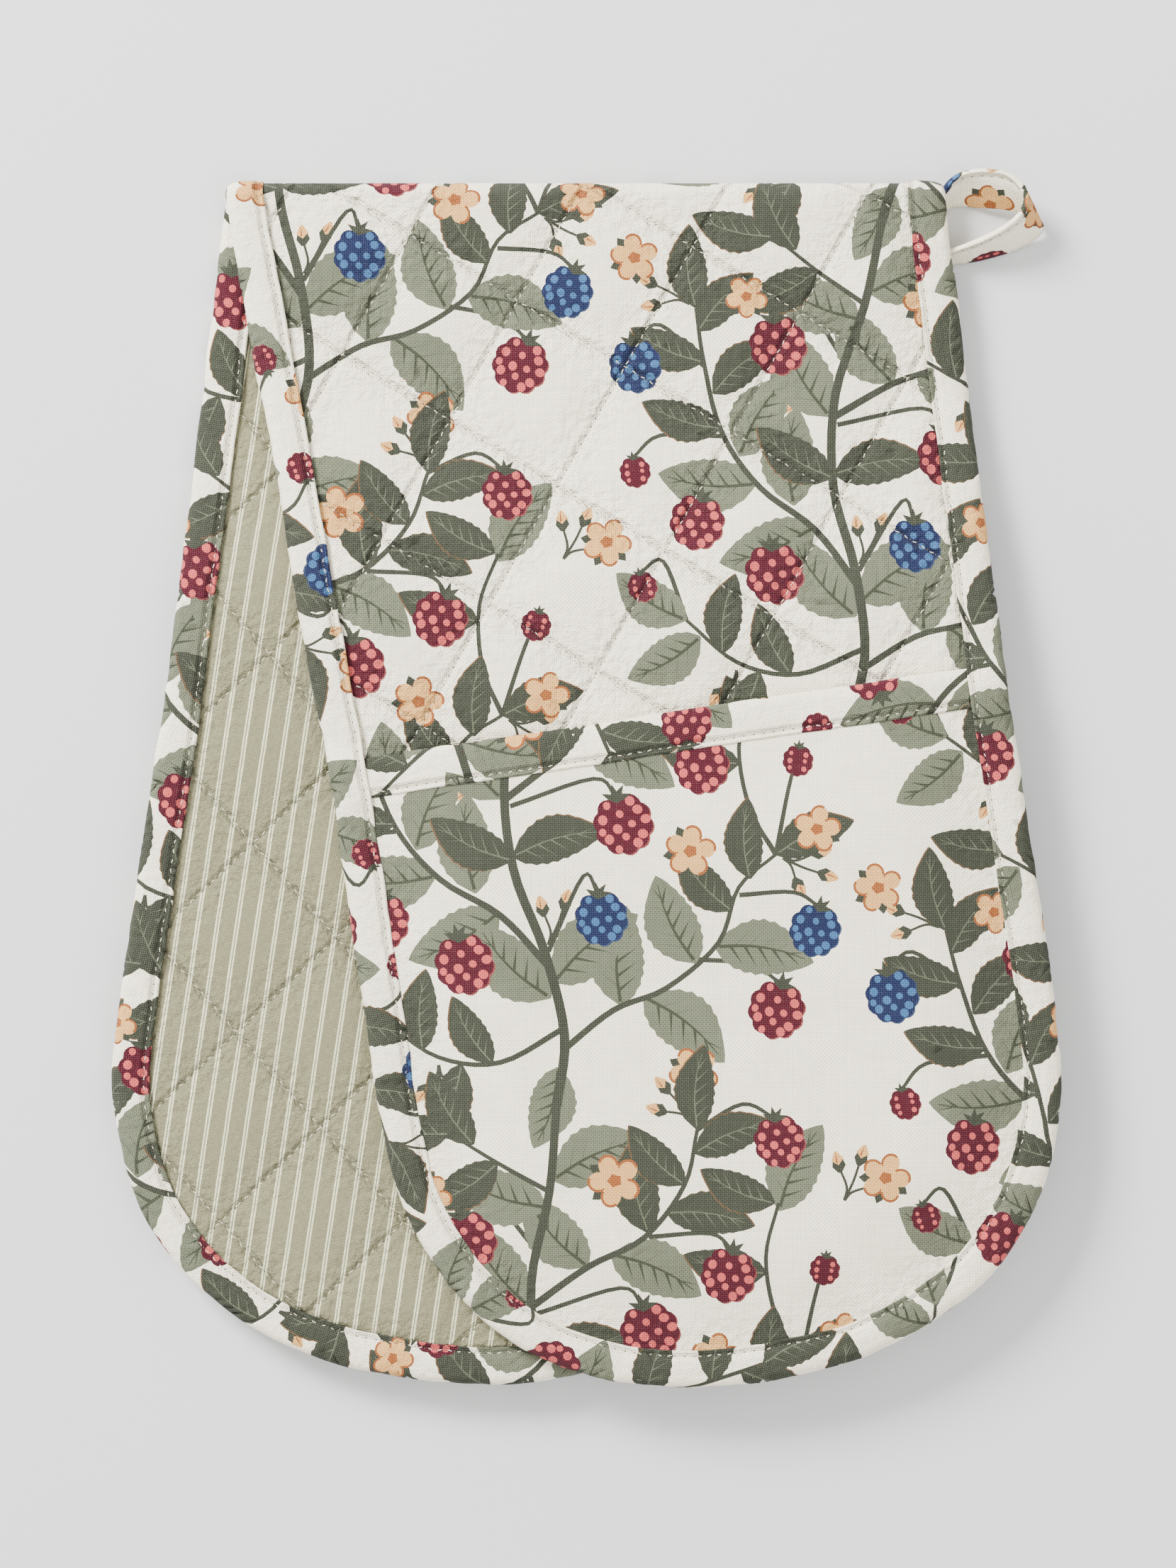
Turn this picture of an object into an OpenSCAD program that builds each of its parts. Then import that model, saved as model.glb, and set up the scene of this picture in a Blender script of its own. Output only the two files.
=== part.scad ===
// Double-ended oven mitt: one quilted strip with a hand pocket at each end, folded once across
// its middle and lying flat. The back half lies lining up with its pocket underneath, the front
// half lies on it lining down with its pocket on top. +Z is up and the fold runs along X.
// The origin is on the resting face, on the strip's centre line, just inside the bend.

/* [Strip] */
// Length of one half, from the fold to the tip
half_length = 317; // [240:1:400]
// Width of the strip at the fold
width_at_fold = 187; // [150:1:220]
// Width of the strip from the end of the taper to the rounded end
width_at_pocket = 178; // [140:1:215]
// Distance from the fold over which the width tapers
taper_length = 150; // [100:1:190]
// Depth of the rounded end
round_depth = 85; // [50:1:110]
// How square the rounded end is, 2 being an ellipse
round_power = 2.3; // [2:0.1:3]
// Angle between each half and the square to the fold
lean = 8.5; // [0:0.5:12]

/* [Layers] */
// Thickness of one layer of printed cloth, lining cloth or binding tape
cloth_t = 0.6; // [0.4:0.1:1]
// Thickness of the wadding between cover and lining
wadding_t = 2.8; // [1.5:0.1:5]
// Gap between the two linings where the halves lie on each other
halves_gap = 0.6; // [0.5:0.1:2]
// Inner radius of the bend, on the lining side
bend_inner_r = 0.3; // [0.3:0.1:1]

/* [Pockets] */
// Distance from the fold to the pocket's mouth
mouth_at = 141; // [125:1:170]
// Height of the hand space in the lying pocket
hand_space = 5.2; // [4.6:0.1:12]
// Width of the slope between the binding and the full height of the pocket
slope_width = 22; // [10:1:30]

/* [Trim] */
// Width of the binding tape round the edge
edge_tape_w = 10; // [6:0.5:14]
// Width of the binding strip along the pocket's mouth
mouth_tape_w = 10.4; // [6:0.1:14]
// Distance of the edge stitching from the inner edge of the tape
stitch_inset = 1.3; // [0.8:0.1:3]
// Width of a row of thread
thread_w = 0.5; // [0.3:0.1:1]
// Height of a row of thread above the cloth
thread_h = 0.2; // [0.1:0.05:0.4]
// Angle of the quilting lines that fall to the right
falling_quilt_angle = -40; // [-60:1:-20]
// Spacing of the quilting lines that fall to the right
falling_quilt_pitch = 36; // [20:1:60]
// Angle of the quilting lines that rise to the right
rising_quilt_angle = 52; // [30:1:70]
// Spacing of the quilting lines that rise to the right
rising_quilt_pitch = 33; // [20:1:60]

/* [Hanging loop] */
// Height of the loop's tape, which stands on its edge
loop_tape_w = 10; // [8:0.5:14]
// Thickness of the loop's doubled tape
loop_tape_t = 1.6; // [1:0.1:3]
// How far the loop stands out from the strip's edge
loop_reach = 23; // [18:1:40]
// Length of the seam that holds the loop's ends
loop_seam = 21; // [16:1:30]

/* [Hidden] */

FRONT = 1;
BACK = -1;

printed = "#EFEBE3";
lining_colour = "#A9A895";
thread_colour = "#E9E6DC";
wadding_colour = "#F5F3EE";

// The pad's layers, counted from the lining's face.
pad_t = 2 * cloth_t + wadding_t;
cover_z = pad_t - cloth_t;

// The bend starts a little behind the origin, and the halves stop short of it.
bend_start = 3;
bend_clear = 1.1;
bend_outer_r = bend_inner_r + pad_t;
pad_end = bend_start - bend_clear;
fold_y = bend_start + bend_outer_r;
half_at_fold = width_at_fold / 2 / cos(lean);

// Both halves step up over the back half's pocket, between the fold and the mouth.
pocket_t = 2 * cloth_t;
step_up = hand_space + pocket_t;
step_start_share = 0.3;
step_spare = 3;
step_from = -step_start_share * mouth_at;
step_to = fold_y - mouth_at * cos(lean) + width_at_pocket / 2 * sin(lean) + step_spare;
step_pieces = 6;
front_base = pad_t + halves_gap;

round_pieces = 14;
// Further than any point of the part, and how far a cutting shape stands past what it cuts.
far = 1.2 * half_length;
cut = 1;
// How far the outline runs on past the fold, where the bend's straight end trims it.
past_fold = 30;
// Space between the quilting thread and the binding or the pocket's rim.
quilt_clear = 1.2;

// Height of the step at a place along Y.
function step_at(y) =
    y >= step_from ? 0 :
    y <= step_to ? step_up :
    step_up * (1 - cos(180 * (step_from - y) / (step_from - step_to))) / 2;

step_rows = concat([pad_end],
                   [for (i = [0 : step_pieces])
                       step_from + (step_to - step_from) * i / step_pieces],
                   [-far]);

// A layer between two heights over the pad's lining face, following the step.
module layer(side, z_low, z_high) {
    rotate([90, 0, 90])
        linear_extrude(height = 2 * far, center = true)
            polygon(concat(
                [for (y = step_rows) [y, side * step_at(y) + z_low]],
                [for (i = [len(step_rows) - 1 : -1 : 0])
                    [step_rows[i], side * step_at(step_rows[i]) + z_high]]));
}

// Points of the rounded end, from the right side round the tip to the left.
function round_end(inset) = [
    for (i = [0 : 2 * round_pieces])
        let (a = 90 * i / round_pieces, c = cos(a), s = sin(a))
        [sign(c) * (width_at_pocket / 2 - inset) * pow(abs(c), 2 / round_power),
         -(half_length - round_depth) - (round_depth - inset) * pow(s, 2 / round_power)]];

// The strip's outline from the fold to the tip, drawn in by inset.
module whole_outline(side, inset) {
    flare = (width_at_fold - width_at_pocket) / 2 / taper_length;
    wide = width_at_fold / 2 + flare * past_fold - inset;
    narrow = width_at_pocket / 2 - inset;
    translate([0, fold_y]) rotate(side * lean)
        polygon(concat([[-wide, past_fold], [wide, past_fold], [narrow, -taper_length]],
                       round_end(inset), [[-narrow, -taper_length]]));
}

// The outline of the strip's end beyond a distance from the fold.
module end_outline(side, inset, from) {
    wide = width_at_pocket / 2 - inset;
    translate([0, fold_y]) rotate(side * lean)
        polygon(concat([[-wide, -from], [wide, -from]], round_end(inset)));
}

module prism(z_low, z_high) {
    translate([0, 0, z_low]) linear_extrude(height = z_high - z_low) children();
}

// Puts a half, made with its lining face at zero and its print upwards, where it lies.
module lay(side) {
    if (side == FRONT) translate([0, 0, front_base]) children();
    else translate([0, 0, pad_t]) mirror([0, 0, 1]) children();
}

// A sheet or filling of the pad.
module pad_sheet(side, inset, z_low, z_high) {
    lay(side) intersection() {
        layer(side, z_low, z_high);
        prism(-far, far) whole_outline(side, inset);
    }
}

module cover(side) color(printed) pad_sheet(side, edge_tape_w, cover_z, pad_t);
module wadding(side) color(wadding_colour) pad_sheet(side, cloth_t, cloth_t, cover_z);
module lining(side) color(lining_colour) pad_sheet(side, edge_tape_w, 0, cloth_t);

// Parallel quilting lines across the whole strip.
module quilt_rows(angle, pitch) {
    rows = ceil(half_length / pitch);
    rotate(angle)
        for (i = [-rows : rows])
            translate([-far, i * pitch - thread_w / 2]) square([2 * far, thread_w]);
}

// Rows of quilting, on the face that shows: the front's cover, the back's lining.
module quilting_thread(side) {
    low = side == FRONT ? pad_t : -thread_h;
    color(thread_colour) lay(side) intersection() {
        layer(side, low, low + thread_h);
        prism(-far, far) intersection() {
            whole_outline(side, edge_tape_w + quilt_clear);
            translate([0, fold_y]) rotate(side * lean) {
                quilt_rows(falling_quilt_angle, falling_quilt_pitch);
                quilt_rows(rising_quilt_angle, rising_quilt_pitch);
            }
        }
    }
}

// Height of the cover's face over the lining's face, in the pocket's zone.
function pocket_base(side) = pad_t + side * step_up;

// Points of the strip's end at one height, from the mouth's right end round to its left end.
function end_points(inset, from, z) =
    let (wide = width_at_pocket / 2 - inset)
    [for (p = concat([[wide, -from]], round_end(inset), [[-wide, -from]])) [p[0], p[1], z]];

// A skin of the pocket between two heights over the cover: a flat rim that reaches into the edge
// binding, a slope, and a flat top over the hand space. It starts at a distance from the fold.
module pocket_skin(side, z_low, z_high, from) {
    top_inset = edge_tape_w + slope_width;
    rings = [[cloth_t, z_low], [cloth_t, z_high], [edge_tape_w, z_high],
             [top_inset, z_high + hand_space], [top_inset, z_low + hand_space],
             [edge_tape_w, z_low]];
    n = len(end_points(0, from, 0));
    right = [for (k = [0 : 5]) k * n];
    left = [for (k = [0 : 5]) k * n + n - 1];
    walls = [for (k = [0, 1, 2, 4, 5], i = [0 : n - 2], upper = [0, 1])
        let (a = k * n + i, b = (k + 1) % 6 * n + i)
        upper == 0 ? [a, a + 1, b + 1] : [a, b + 1, b]];
    translate([0, fold_y, pocket_base(side)]) rotate(side * lean)
        polyhedron(
            points = [for (r = rings, p = end_points(r[0], from, r[1])) p],
            faces = concat(walls,
                [[for (i = [0 : n - 1]) 3 * n + i]],
                [[for (i = [n - 1 : -1 : 0]) 4 * n + i]],
                [[right[0], right[1], right[2], right[5]],
                 [right[5], right[2], right[3], right[4]],
                 [right[4], right[3], left[3], left[4]],
                 [left[4], left[3], left[2], left[5]],
                 [left[5], left[2], left[1], left[0]]]));
}

module pocket_lining(side) {
    color(lining_colour) lay(side) pocket_skin(side, 0, cloth_t, mouth_at + mouth_tape_w);
}

module pocket_panel(side) {
    color(printed) lay(side)
        pocket_skin(side, cloth_t, pocket_t, mouth_at + mouth_tape_w);
}

// A band across the pocket with the skin's section, between two distances from the fold. It runs
// on into the edge binding if reach is past the pocket's foot, or stops short of it.
module pocket_band(side, reach, z_low, z_high, from, to) {
    foot = width_at_pocket / 2 - edge_tape_w;
    top = foot - slope_width;
    right_side = concat(reach > foot ? [[reach, z_low], [reach, z_high]] : [],
                        [[foot, z_high], [top, z_high + hand_space]]);
    below = [[-top, z_low + hand_space], [top, z_low + hand_space], [foot, z_low]];
    left_side = [for (i = [len(right_side) - 1 : -1 : 0])
        [-right_side[i][0], right_side[i][1]]];
    lay(side) translate([0, fold_y, pocket_base(side)]) rotate(side * lean)
        translate([0, -from, 0]) rotate([90, 0, 0])
            linear_extrude(height = to - from)
                polygon(concat(right_side, left_side, [[-foot, z_low]], below));
}

// The strip of tape folded over the mouth's edge.
module mouth_binding(side) {
    color(printed)
        pocket_band(side, width_at_pocket / 2 - cloth_t, 0, pocket_t,
                    mouth_at, mouth_at + mouth_tape_w);
}

// One row of stitches along the mouth strip's far edge, on the face that is turned up. It runs
// over the slopes and the top, and stops short of the pocket's foot.
module mouth_stitching(side) {
    row = mouth_at + mouth_tape_w - stitch_inset - thread_w;
    low = side == FRONT ? pocket_t : -thread_h;
    row_end = width_at_pocket / 2 - edge_tape_w - quilt_clear;
    color(thread_colour) intersection() {
        pocket_band(side, 0, low, low + thread_h, row, row + thread_w);
        prism(-far, far) translate([0, fold_y]) rotate(side * lean)
            translate([-row_end, -row - cut]) square([2 * row_end, thread_w + 2 * cut]);
    }
}

// The tape round the edge: a channel that holds the wadding's edge and the pocket's rim.
module edge_binding(side) {
    base = pocket_base(side);
    color(printed) lay(side) difference() {
        union() {
            intersection() {
                layer(side, 0, pad_t);
                prism(-far, far) difference() {
                    whole_outline(side, 0);
                    whole_outline(side, edge_tape_w);
                }
            }
            prism(base - cloth_t, base + pocket_t + cloth_t) difference() {
                end_outline(side, 0, mouth_at);
                end_outline(side, edge_tape_w, mouth_at - cut);
            }
        }
        intersection() {
            layer(side, cloth_t, cover_z);
            prism(-far, far) whole_outline(side, cloth_t);
        }
        prism(base - wadding_t, base + pocket_t) end_outline(side, cloth_t, mouth_at);
    }
}

// A row of stitches on the tape, near its inner edge.
module edge_stitching(side) {
    inner = edge_tape_w - stitch_inset;
    base = pocket_base(side);
    color(thread_colour) lay(side) {
        if (side == BACK) intersection() {
            layer(side, -thread_h, 0);
            prism(-far, far) difference() {
                whole_outline(side, inner - thread_w);
                whole_outline(side, inner);
            }
        }
        else {
            intersection() {
                layer(side, pad_t, pad_t + thread_h);
                prism(-far, far) difference() {
                    whole_outline(side, inner - thread_w);
                    whole_outline(side, inner);
                    end_outline(side, 0, mouth_at);
                }
            }
            prism(base + pocket_t + cloth_t, base + pocket_t + cloth_t + thread_h)
                difference() {
                    end_outline(side, inner - thread_w, mouth_at);
                    end_outline(side, inner, mouth_at - cut);
                }
        }
    }
}

// Half a tube round the bend's line, between two places along X.
module bend(r_inner, r_outer, x_from, x_to) {
    translate([x_from, bend_start, bend_outer_r]) rotate([90, 0, 90]) difference() {
        cylinder(h = x_to - x_from, r = r_outer, $fn = 64);
        translate([0, 0, -cut]) cylinder(h = x_to - x_from + 2 * cut, r = r_inner, $fn = 64);
        translate([-2 * bend_outer_r, -2 * bend_outer_r, -cut])
            cube([2 * bend_outer_r, 4 * bend_outer_r, x_to - x_from + 2 * cut]);
    }
}

bend_cover_x = half_at_fold - edge_tape_w;
bend_wadding_x = half_at_fold - cloth_t;
bend_lining_r = bend_inner_r + cloth_t;
bend_cover_r = bend_outer_r - cloth_t;

module cover_fold() color(printed) bend(bend_cover_r, bend_outer_r, -bend_cover_x, bend_cover_x);
module wadding_fold() {
    color(wadding_colour) bend(bend_lining_r, bend_cover_r, -bend_wadding_x, bend_wadding_x);
}
module lining_fold() {
    color(lining_colour) bend(bend_inner_r, bend_lining_r, -bend_cover_x, bend_cover_x);
}
module edge_binding_fold_right() {
    color(printed) difference() {
        bend(bend_inner_r, bend_outer_r, bend_cover_x, half_at_fold);
        bend(bend_lining_r, bend_cover_r, bend_cover_x - cut, bend_wadding_x);
    }
}
module edge_binding_fold_left() mirror([1, 0, 0]) edge_binding_fold_right();

// The hanging loop: a teardrop of tape standing on its edge, with its ends in the back half's
// edge. It swings up about a line along the ends' upper edges.
loop_out = half_at_fold + loop_reach;
loop_root_in = 7;
loop_long_r = (loop_reach + loop_root_in) / 2;
loop_short_r = loop_seam / 2;
loop_hinge_out = 4.5;
loop_hinge_x = half_at_fold + loop_hinge_out;
loop_end_h = 3.6;
loop_joint_gap = 0.15;
loop_slope = 0.67;
loop_below_fold = 3.2;
loop_middle_y = fold_y - loop_below_fold - loop_short_r;
loop_points = 40;

module loop_oval(drawn_in) {
    translate([loop_out - loop_long_r, loop_middle_y])
        polygon([for (i = [0 : loop_points - 1]) let (a = 360 * i / loop_points)
            [(loop_long_r - drawn_in) * cos(a), (loop_short_r - drawn_in) * sin(a)]]);
}

module loop_ring(z_low, z_high) {
    prism(z_low, z_high) difference() {
        loop_oval(0);
        loop_oval(loop_tape_t);
    }
}

// The loop's ends stop at the back half's edge, and stay clear of the bend as it turns.
module loop_ends() {
    color(printed) difference() {
        loop_ring(0, loop_end_h);
        translate([loop_hinge_x - loop_joint_gap, -far, -cut])
            cube([far, 2 * far, loop_tape_w]);
        prism(-cut, loop_end_h + cut) whole_outline(BACK, 0);
        translate([0, pad_end, -cut])
            cube([half_at_fold + 2 * loop_joint_gap, far, loop_tape_w]);
    }
}

// The side view of the loop: low at the hinge, rising to the tape's full width.
module loop_side(low, high) {
    rise_x = (loop_tape_w - loop_end_h) / loop_slope;
    rotate([90, 0, 0]) linear_extrude(height = 2 * far, center = true)
        polygon([[loop_hinge_x + loop_joint_gap, low],
                 [loop_out + cut, low], [loop_out + cut, loop_tape_w + high],
                 [loop_hinge_x + rise_x, loop_tape_w + high],
                 [loop_hinge_x + loop_joint_gap, loop_end_h + high]]);
}

module hanging_loop() {
    color(printed) intersection() {
        loop_ring(0, loop_tape_w);
        loop_side(0, 0);
    }
}

// A row of stitches along the loop's upper edge.
module loop_stitching() {
    color(thread_colour) intersection() {
        prism(loop_end_h, loop_tape_w + thread_h) difference() {
            loop_oval(loop_tape_t / 2 - thread_w / 2);
            loop_oval(loop_tape_t / 2 + thread_w / 2);
        }
        difference() {
            loop_side(0, thread_h);
            loop_side(-cut, 0);
        }
    }
}

cover(BACK);  // cover_back
wadding(BACK);  // wadding_back
lining(BACK);  // lining_back
quilting_thread(BACK);  // quilting_thread_back
pocket_panel(BACK);  // pocket_panel_back
pocket_lining(BACK);  // pocket_lining_back
mouth_binding(BACK);  // mouth_binding_back
mouth_stitching(BACK);  // mouth_stitching_back
edge_binding(BACK);  // edge_binding_back
edge_stitching(BACK);  // edge_stitching_back
loop_ends();
cover_fold();
wadding_fold();
lining_fold();
edge_binding_fold_left();
edge_binding_fold_right();
cover(FRONT);  // cover_front
wadding(FRONT);  // wadding_front
lining(FRONT);  // lining_front
quilting_thread(FRONT);  // quilting_thread_front
pocket_panel(FRONT);  // pocket_panel_front
pocket_lining(FRONT);  // pocket_lining_front
mouth_binding(FRONT);  // mouth_binding_front
mouth_stitching(FRONT);  // mouth_stitching_front
edge_binding(FRONT);  // edge_binding_front
edge_stitching(FRONT);  // edge_stitching_front
hanging_loop();
loop_stitching();
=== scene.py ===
import math
from functools import partial

import bmesh
import bpy
import numpy as np
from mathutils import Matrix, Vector
from mathutils.geometry import delaunay_2d_cdt


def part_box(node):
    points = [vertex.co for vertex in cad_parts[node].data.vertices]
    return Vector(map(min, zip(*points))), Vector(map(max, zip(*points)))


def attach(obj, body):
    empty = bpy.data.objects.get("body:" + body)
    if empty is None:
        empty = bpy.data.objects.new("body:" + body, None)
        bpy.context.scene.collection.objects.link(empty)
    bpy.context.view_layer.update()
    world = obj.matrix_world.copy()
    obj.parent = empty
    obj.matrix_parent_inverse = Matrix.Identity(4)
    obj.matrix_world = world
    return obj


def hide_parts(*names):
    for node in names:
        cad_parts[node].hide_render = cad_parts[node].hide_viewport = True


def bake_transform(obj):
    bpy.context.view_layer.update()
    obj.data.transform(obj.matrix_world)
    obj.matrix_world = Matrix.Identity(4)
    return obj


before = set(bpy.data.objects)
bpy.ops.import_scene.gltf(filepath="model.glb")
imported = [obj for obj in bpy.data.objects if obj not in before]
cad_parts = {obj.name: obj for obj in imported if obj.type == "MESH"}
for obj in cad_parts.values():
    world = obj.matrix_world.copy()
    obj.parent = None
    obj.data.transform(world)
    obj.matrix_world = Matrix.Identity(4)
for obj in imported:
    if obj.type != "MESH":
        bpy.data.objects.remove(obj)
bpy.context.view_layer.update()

# A double oven glove: one quilted strip with a hand pocket at each end, folded once and lying
# flat. The back half lies lining up, the front half lies on it lining down.
#
# Cloth is drawn flat, in millimetres, as the front half has it: x runs along the fold and w is
# the distance over the cloth from the fold's outermost line. The back half is the front half
# turned half a turn about the Y axis, so both halves are cut alike. lay() puts flat places in
# the world, in metres, at a depth under the printed face.

FRONT, BACK = 1, -1
HALVES = {FRONT: "front", BACK: "back"}
MM = 0.001
rng = np.random.default_rng(7)

# ---------------------------------------------------------------- sizes, in millimetres

LOW, HIGH = 0, 1
X, Y, Z = 0, 1, 2


def edge_of(node, corner, axis):
    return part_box(node)[corner][axis] / MM


FOLD_Y = edge_of("cover_fold", HIGH, Y)
BEND_Y = edge_of("cover_fold", LOW, Y)
BEND_R = FOLD_Y - BEND_Y
ARC = BEND_R * math.pi / 2
HALF_AT_FOLD = edge_of("edge_binding_fold_right", HIGH, X)
TAPE = HALF_AT_FOLD - edge_of("cover_fold", HIGH, X)
CLOTH = HALF_AT_FOLD - edge_of("wadding_fold", HIGH, X)
PAD = BEND_R - (edge_of("lining_fold", HIGH, Y) - BEND_Y - CLOTH)
STEP_UP = edge_of("cover_back", HIGH, Z) - CLOTH

# The strip's shape, as the frame has it.
LEAN = math.radians(8.5)
HALF_LENGTH = 317.0
HALF_WIDE = 89.0
TAPER = 150.0
ROUND_DEPTH = 85.0
ROUND_POWER = 2.3
MOUTH = 141.0
MOUTH_TAPE = 10.4
STEP_FROM = -0.3 * MOUTH
STEP_TO = FOLD_Y - MOUTH * math.cos(LEAN) + HALF_WIDE * math.sin(LEAN) + 3

# Thickness of the printed cloth, of the lining and the loop's tape, and of the thinner cloth at
# the pockets. Seams sink into the pad, and the cloth puffs up between them.
SHEET_T = 0.5
LINING_T = 0.45
POCKET_T = 0.4
SEAM_DIP = {FRONT: 1.0, BACK: 0.85}
PUFF = {FRONT: 1.35, BACK: 0.8}
LINING_DIP = 0.8
LINING_PUFF = 0.95
QUILT_ANGLES = (math.radians(-40), math.radians(52))
QUILT_PITCHES = (36.0, 33.0)
STITCH_PITCH = 2.6
STRIPE_PITCH = 5.1
POCKET_RIM = 1.15
POCKET_RISE = 5.05
FLOOR_GAP = 0.2
TIGHTEST_BEND = 0.12


# ---------------------------------------------------------------- flat places to world places


def step(y):
    """How high the halves are lifted over the lower pocket."""
    share = np.clip((STEP_FROM - y) / (STEP_FROM - STEP_TO), 0, 1)
    return STEP_UP * (1 - np.cos(math.pi * share)) / 2


def lay(half, flat, depth):
    """World places of flat places, at a depth under the printed face, round the bend and on."""
    w = flat[:, 1]
    turn = np.clip(w / BEND_R, 0, math.pi / 2)
    radius = np.where(w < ARC, np.maximum(BEND_R - depth, TIGHTEST_BEND), BEND_R - depth)
    y = BEND_Y + radius * np.cos(turn) - np.maximum(w - ARC, 0)
    z = BEND_R + half * radius * np.sin(turn) + step(y)
    if half == BACK:
        z = np.maximum(z, FLOOR_GAP)
    return np.stack([half * flat[:, 0], y, z], axis=1) * MM


def along_strip(flat):
    """Distance to the right of the strip's middle, and along the strip from the fold."""
    x, y = flat[:, 0], BEND_Y + ARC - flat[:, 1] - FOLD_Y
    return (x * math.cos(LEAN) + y * math.sin(LEAN), x * math.sin(LEAN) - y * math.cos(LEAN))


def from_strip(u, v):
    u, v = np.asarray(u, float), np.asarray(v, float)
    x = u * math.cos(LEAN) + v * math.sin(LEAN)
    y = FOLD_Y + u * math.sin(LEAN) - v * math.cos(LEAN)
    return np.stack([x, BEND_Y + ARC - y], axis=1)


def run_of(line):
    """Distance along a line at each of its points."""
    return np.concatenate([[0], np.cumsum(np.linalg.norm(np.diff(line, axis=0), axis=1))])


def places_at(at, run, line):
    """What a line's columns are at those distances along it."""
    return np.stack([np.interp(at, run, column) for column in line.T], axis=1)


def evenly(line, spacing):
    """The same line with a point every so often."""
    run = run_of(line)
    at = np.linspace(0, run[-1], max(2, int(round(run[-1] / spacing)) + 1))
    return places_at(at, run, line)


def gap_to(points, line):
    """Distance from points to a line."""
    nearest = np.full(len(points), 1e9)
    for a, b in zip(line[:-1], line[1:]):
        way = b - a
        share = np.clip(((points - a) @ way) / max(way @ way, 1e-9), 0, 1)
        nearest = np.minimum(nearest, np.hypot(*(points - a - share[:, None] * way).T))
    return nearest


def outline(inset, spacing=2.0, start=0.0):
    """The strip's edge drawn in by inset: from the fold's left end round the tip to its right
    end, or from a distance along the strip."""
    turn = np.linspace(0, math.pi, 61)
    c, s = np.cos(turn), np.sin(turn)
    wide = HALF_WIDE - inset
    tip_u = -np.sign(c) * wide * np.abs(c) ** (2 / ROUND_POWER)
    tip_v = HALF_LENGTH - ROUND_DEPTH + (ROUND_DEPTH - inset) * s ** (2 / ROUND_POWER)
    if start:
        ends = from_strip([-wide, wide], [start, start])
        sides = [ends[:1]], [ends[1:]]
    else:
        knee = from_strip([-wide, wide], [TAPER, TAPER])
        out = HALF_AT_FOLD - inset
        sides = ([[[-out, 0], [-out, ARC]], knee[:1]], [knee[1:], [[out, ARC], [out, 0]]])
    line = np.concatenate([*map(np.array, sides[0]), from_strip(tip_u, tip_v),
                           *map(np.array, sides[1])])
    return evenly(line, spacing)


EDGE = outline(0, 3.0)


def inset_of(flat):
    """Distance from the strip's edge."""
    return gap_to(flat, EDGE)


def ease(x):
    x = np.clip(x, 0, 1)
    return x * x * (3 - 2 * x)


def soft_noise(x, y, size, seed):
    """Smooth random heights from -1 to 1, in bumps of about that size."""
    table = np.random.default_rng(seed).uniform(-1, 1, (64, 64))
    gx, gy = np.asarray(x) / size, np.asarray(y) / size
    ix, iy = np.floor(gx).astype(int), np.floor(gy).astype(int)
    fx, fy = ease(gx - ix), ease(gy - iy)

    def at(i, j):
        return table[(ix + i) % 64, (iy + j) % 64]
    low = at(0, 0) * (1 - fx) + at(1, 0) * fx
    high = at(0, 1) * (1 - fx) + at(1, 1) * fx
    return low * (1 - fy) + high * fy


# ---------------------------------------------------------------- the quilted relief

DIAMONDS, CELLS = 5, 12
SIM_SCALE = 0.01
SIM_FRAMES = 24


def simulate_quilting():
    """Heights over a block of quilted diamonds, held down along every seam, as loose cloth
    that wadding pushes up. A cloth simulation makes them."""
    n = DIAMONDS * CELLS + 1
    rows = np.arange(n)
    i, j = np.meshgrid(rows, rows, indexing="ij")
    places = np.stack([i * QUILT_PITCHES[0] / CELLS * SIM_SCALE,
                       j * QUILT_PITCHES[1] / CELLS * SIM_SCALE,
                       rng.uniform(0, 0.004, i.shape)], axis=2)
    seam = (i % CELLS == 0) | (j % CELLS == 0)
    places[seam, 2] = 0
    quads = [(a * n + b, (a + 1) * n + b, (a + 1) * n + b + 1, a * n + b + 1)
             for a in range(n - 1) for b in range(n - 1)]
    mesh = bpy.data.meshes.new("quilting_try")
    mesh.from_pydata(places.reshape(-1, 3).tolist(), [], quads)
    cloth = bpy.data.objects.new("quilting_try", mesh)
    bpy.context.scene.collection.objects.link(cloth)
    held = cloth.vertex_groups.new(name="held")
    held.add(np.flatnonzero(seam.ravel()).tolist(), 1.0, "REPLACE")
    settings = cloth.modifiers.new("Cloth", "CLOTH").settings
    settings.vertex_group_mass = "held"
    settings.quality = 8
    settings.mass = 0.2
    settings.tension_stiffness = settings.compression_stiffness = 25
    settings.shear_stiffness = 12
    settings.bending_stiffness = 0.15
    settings.shrink_min = -0.045
    settings.use_pressure = True
    settings.uniform_pressure_force = 5.0
    settings.effector_weights.gravity = 0
    scene = bpy.context.scene
    for number in range(1, SIM_FRAMES + 1):
        scene.frame_set(number)
    settled = cloth.evaluated_get(bpy.context.evaluated_depsgraph_get())
    flat = np.empty(n * n * 3)
    settled.data.vertices.foreach_get("co", flat)
    scene.frame_set(1)
    bpy.data.objects.remove(cloth)
    bpy.data.meshes.remove(mesh)
    height = np.abs(flat.reshape(n, n, 3)[:, :, 2])
    return np.clip(height / np.percentile(height, 97), 0, 1.15)


QUILT = simulate_quilting()


def across_seams(half, flat):
    """Distances across the two families of quilting lines, counted in their pitches."""
    u, v = along_strip(flat)
    return [(-half * u * math.sin(angle) - v * math.cos(angle)) / pitch
            for angle, pitch in zip(QUILT_ANGLES, QUILT_PITCHES)]


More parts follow.
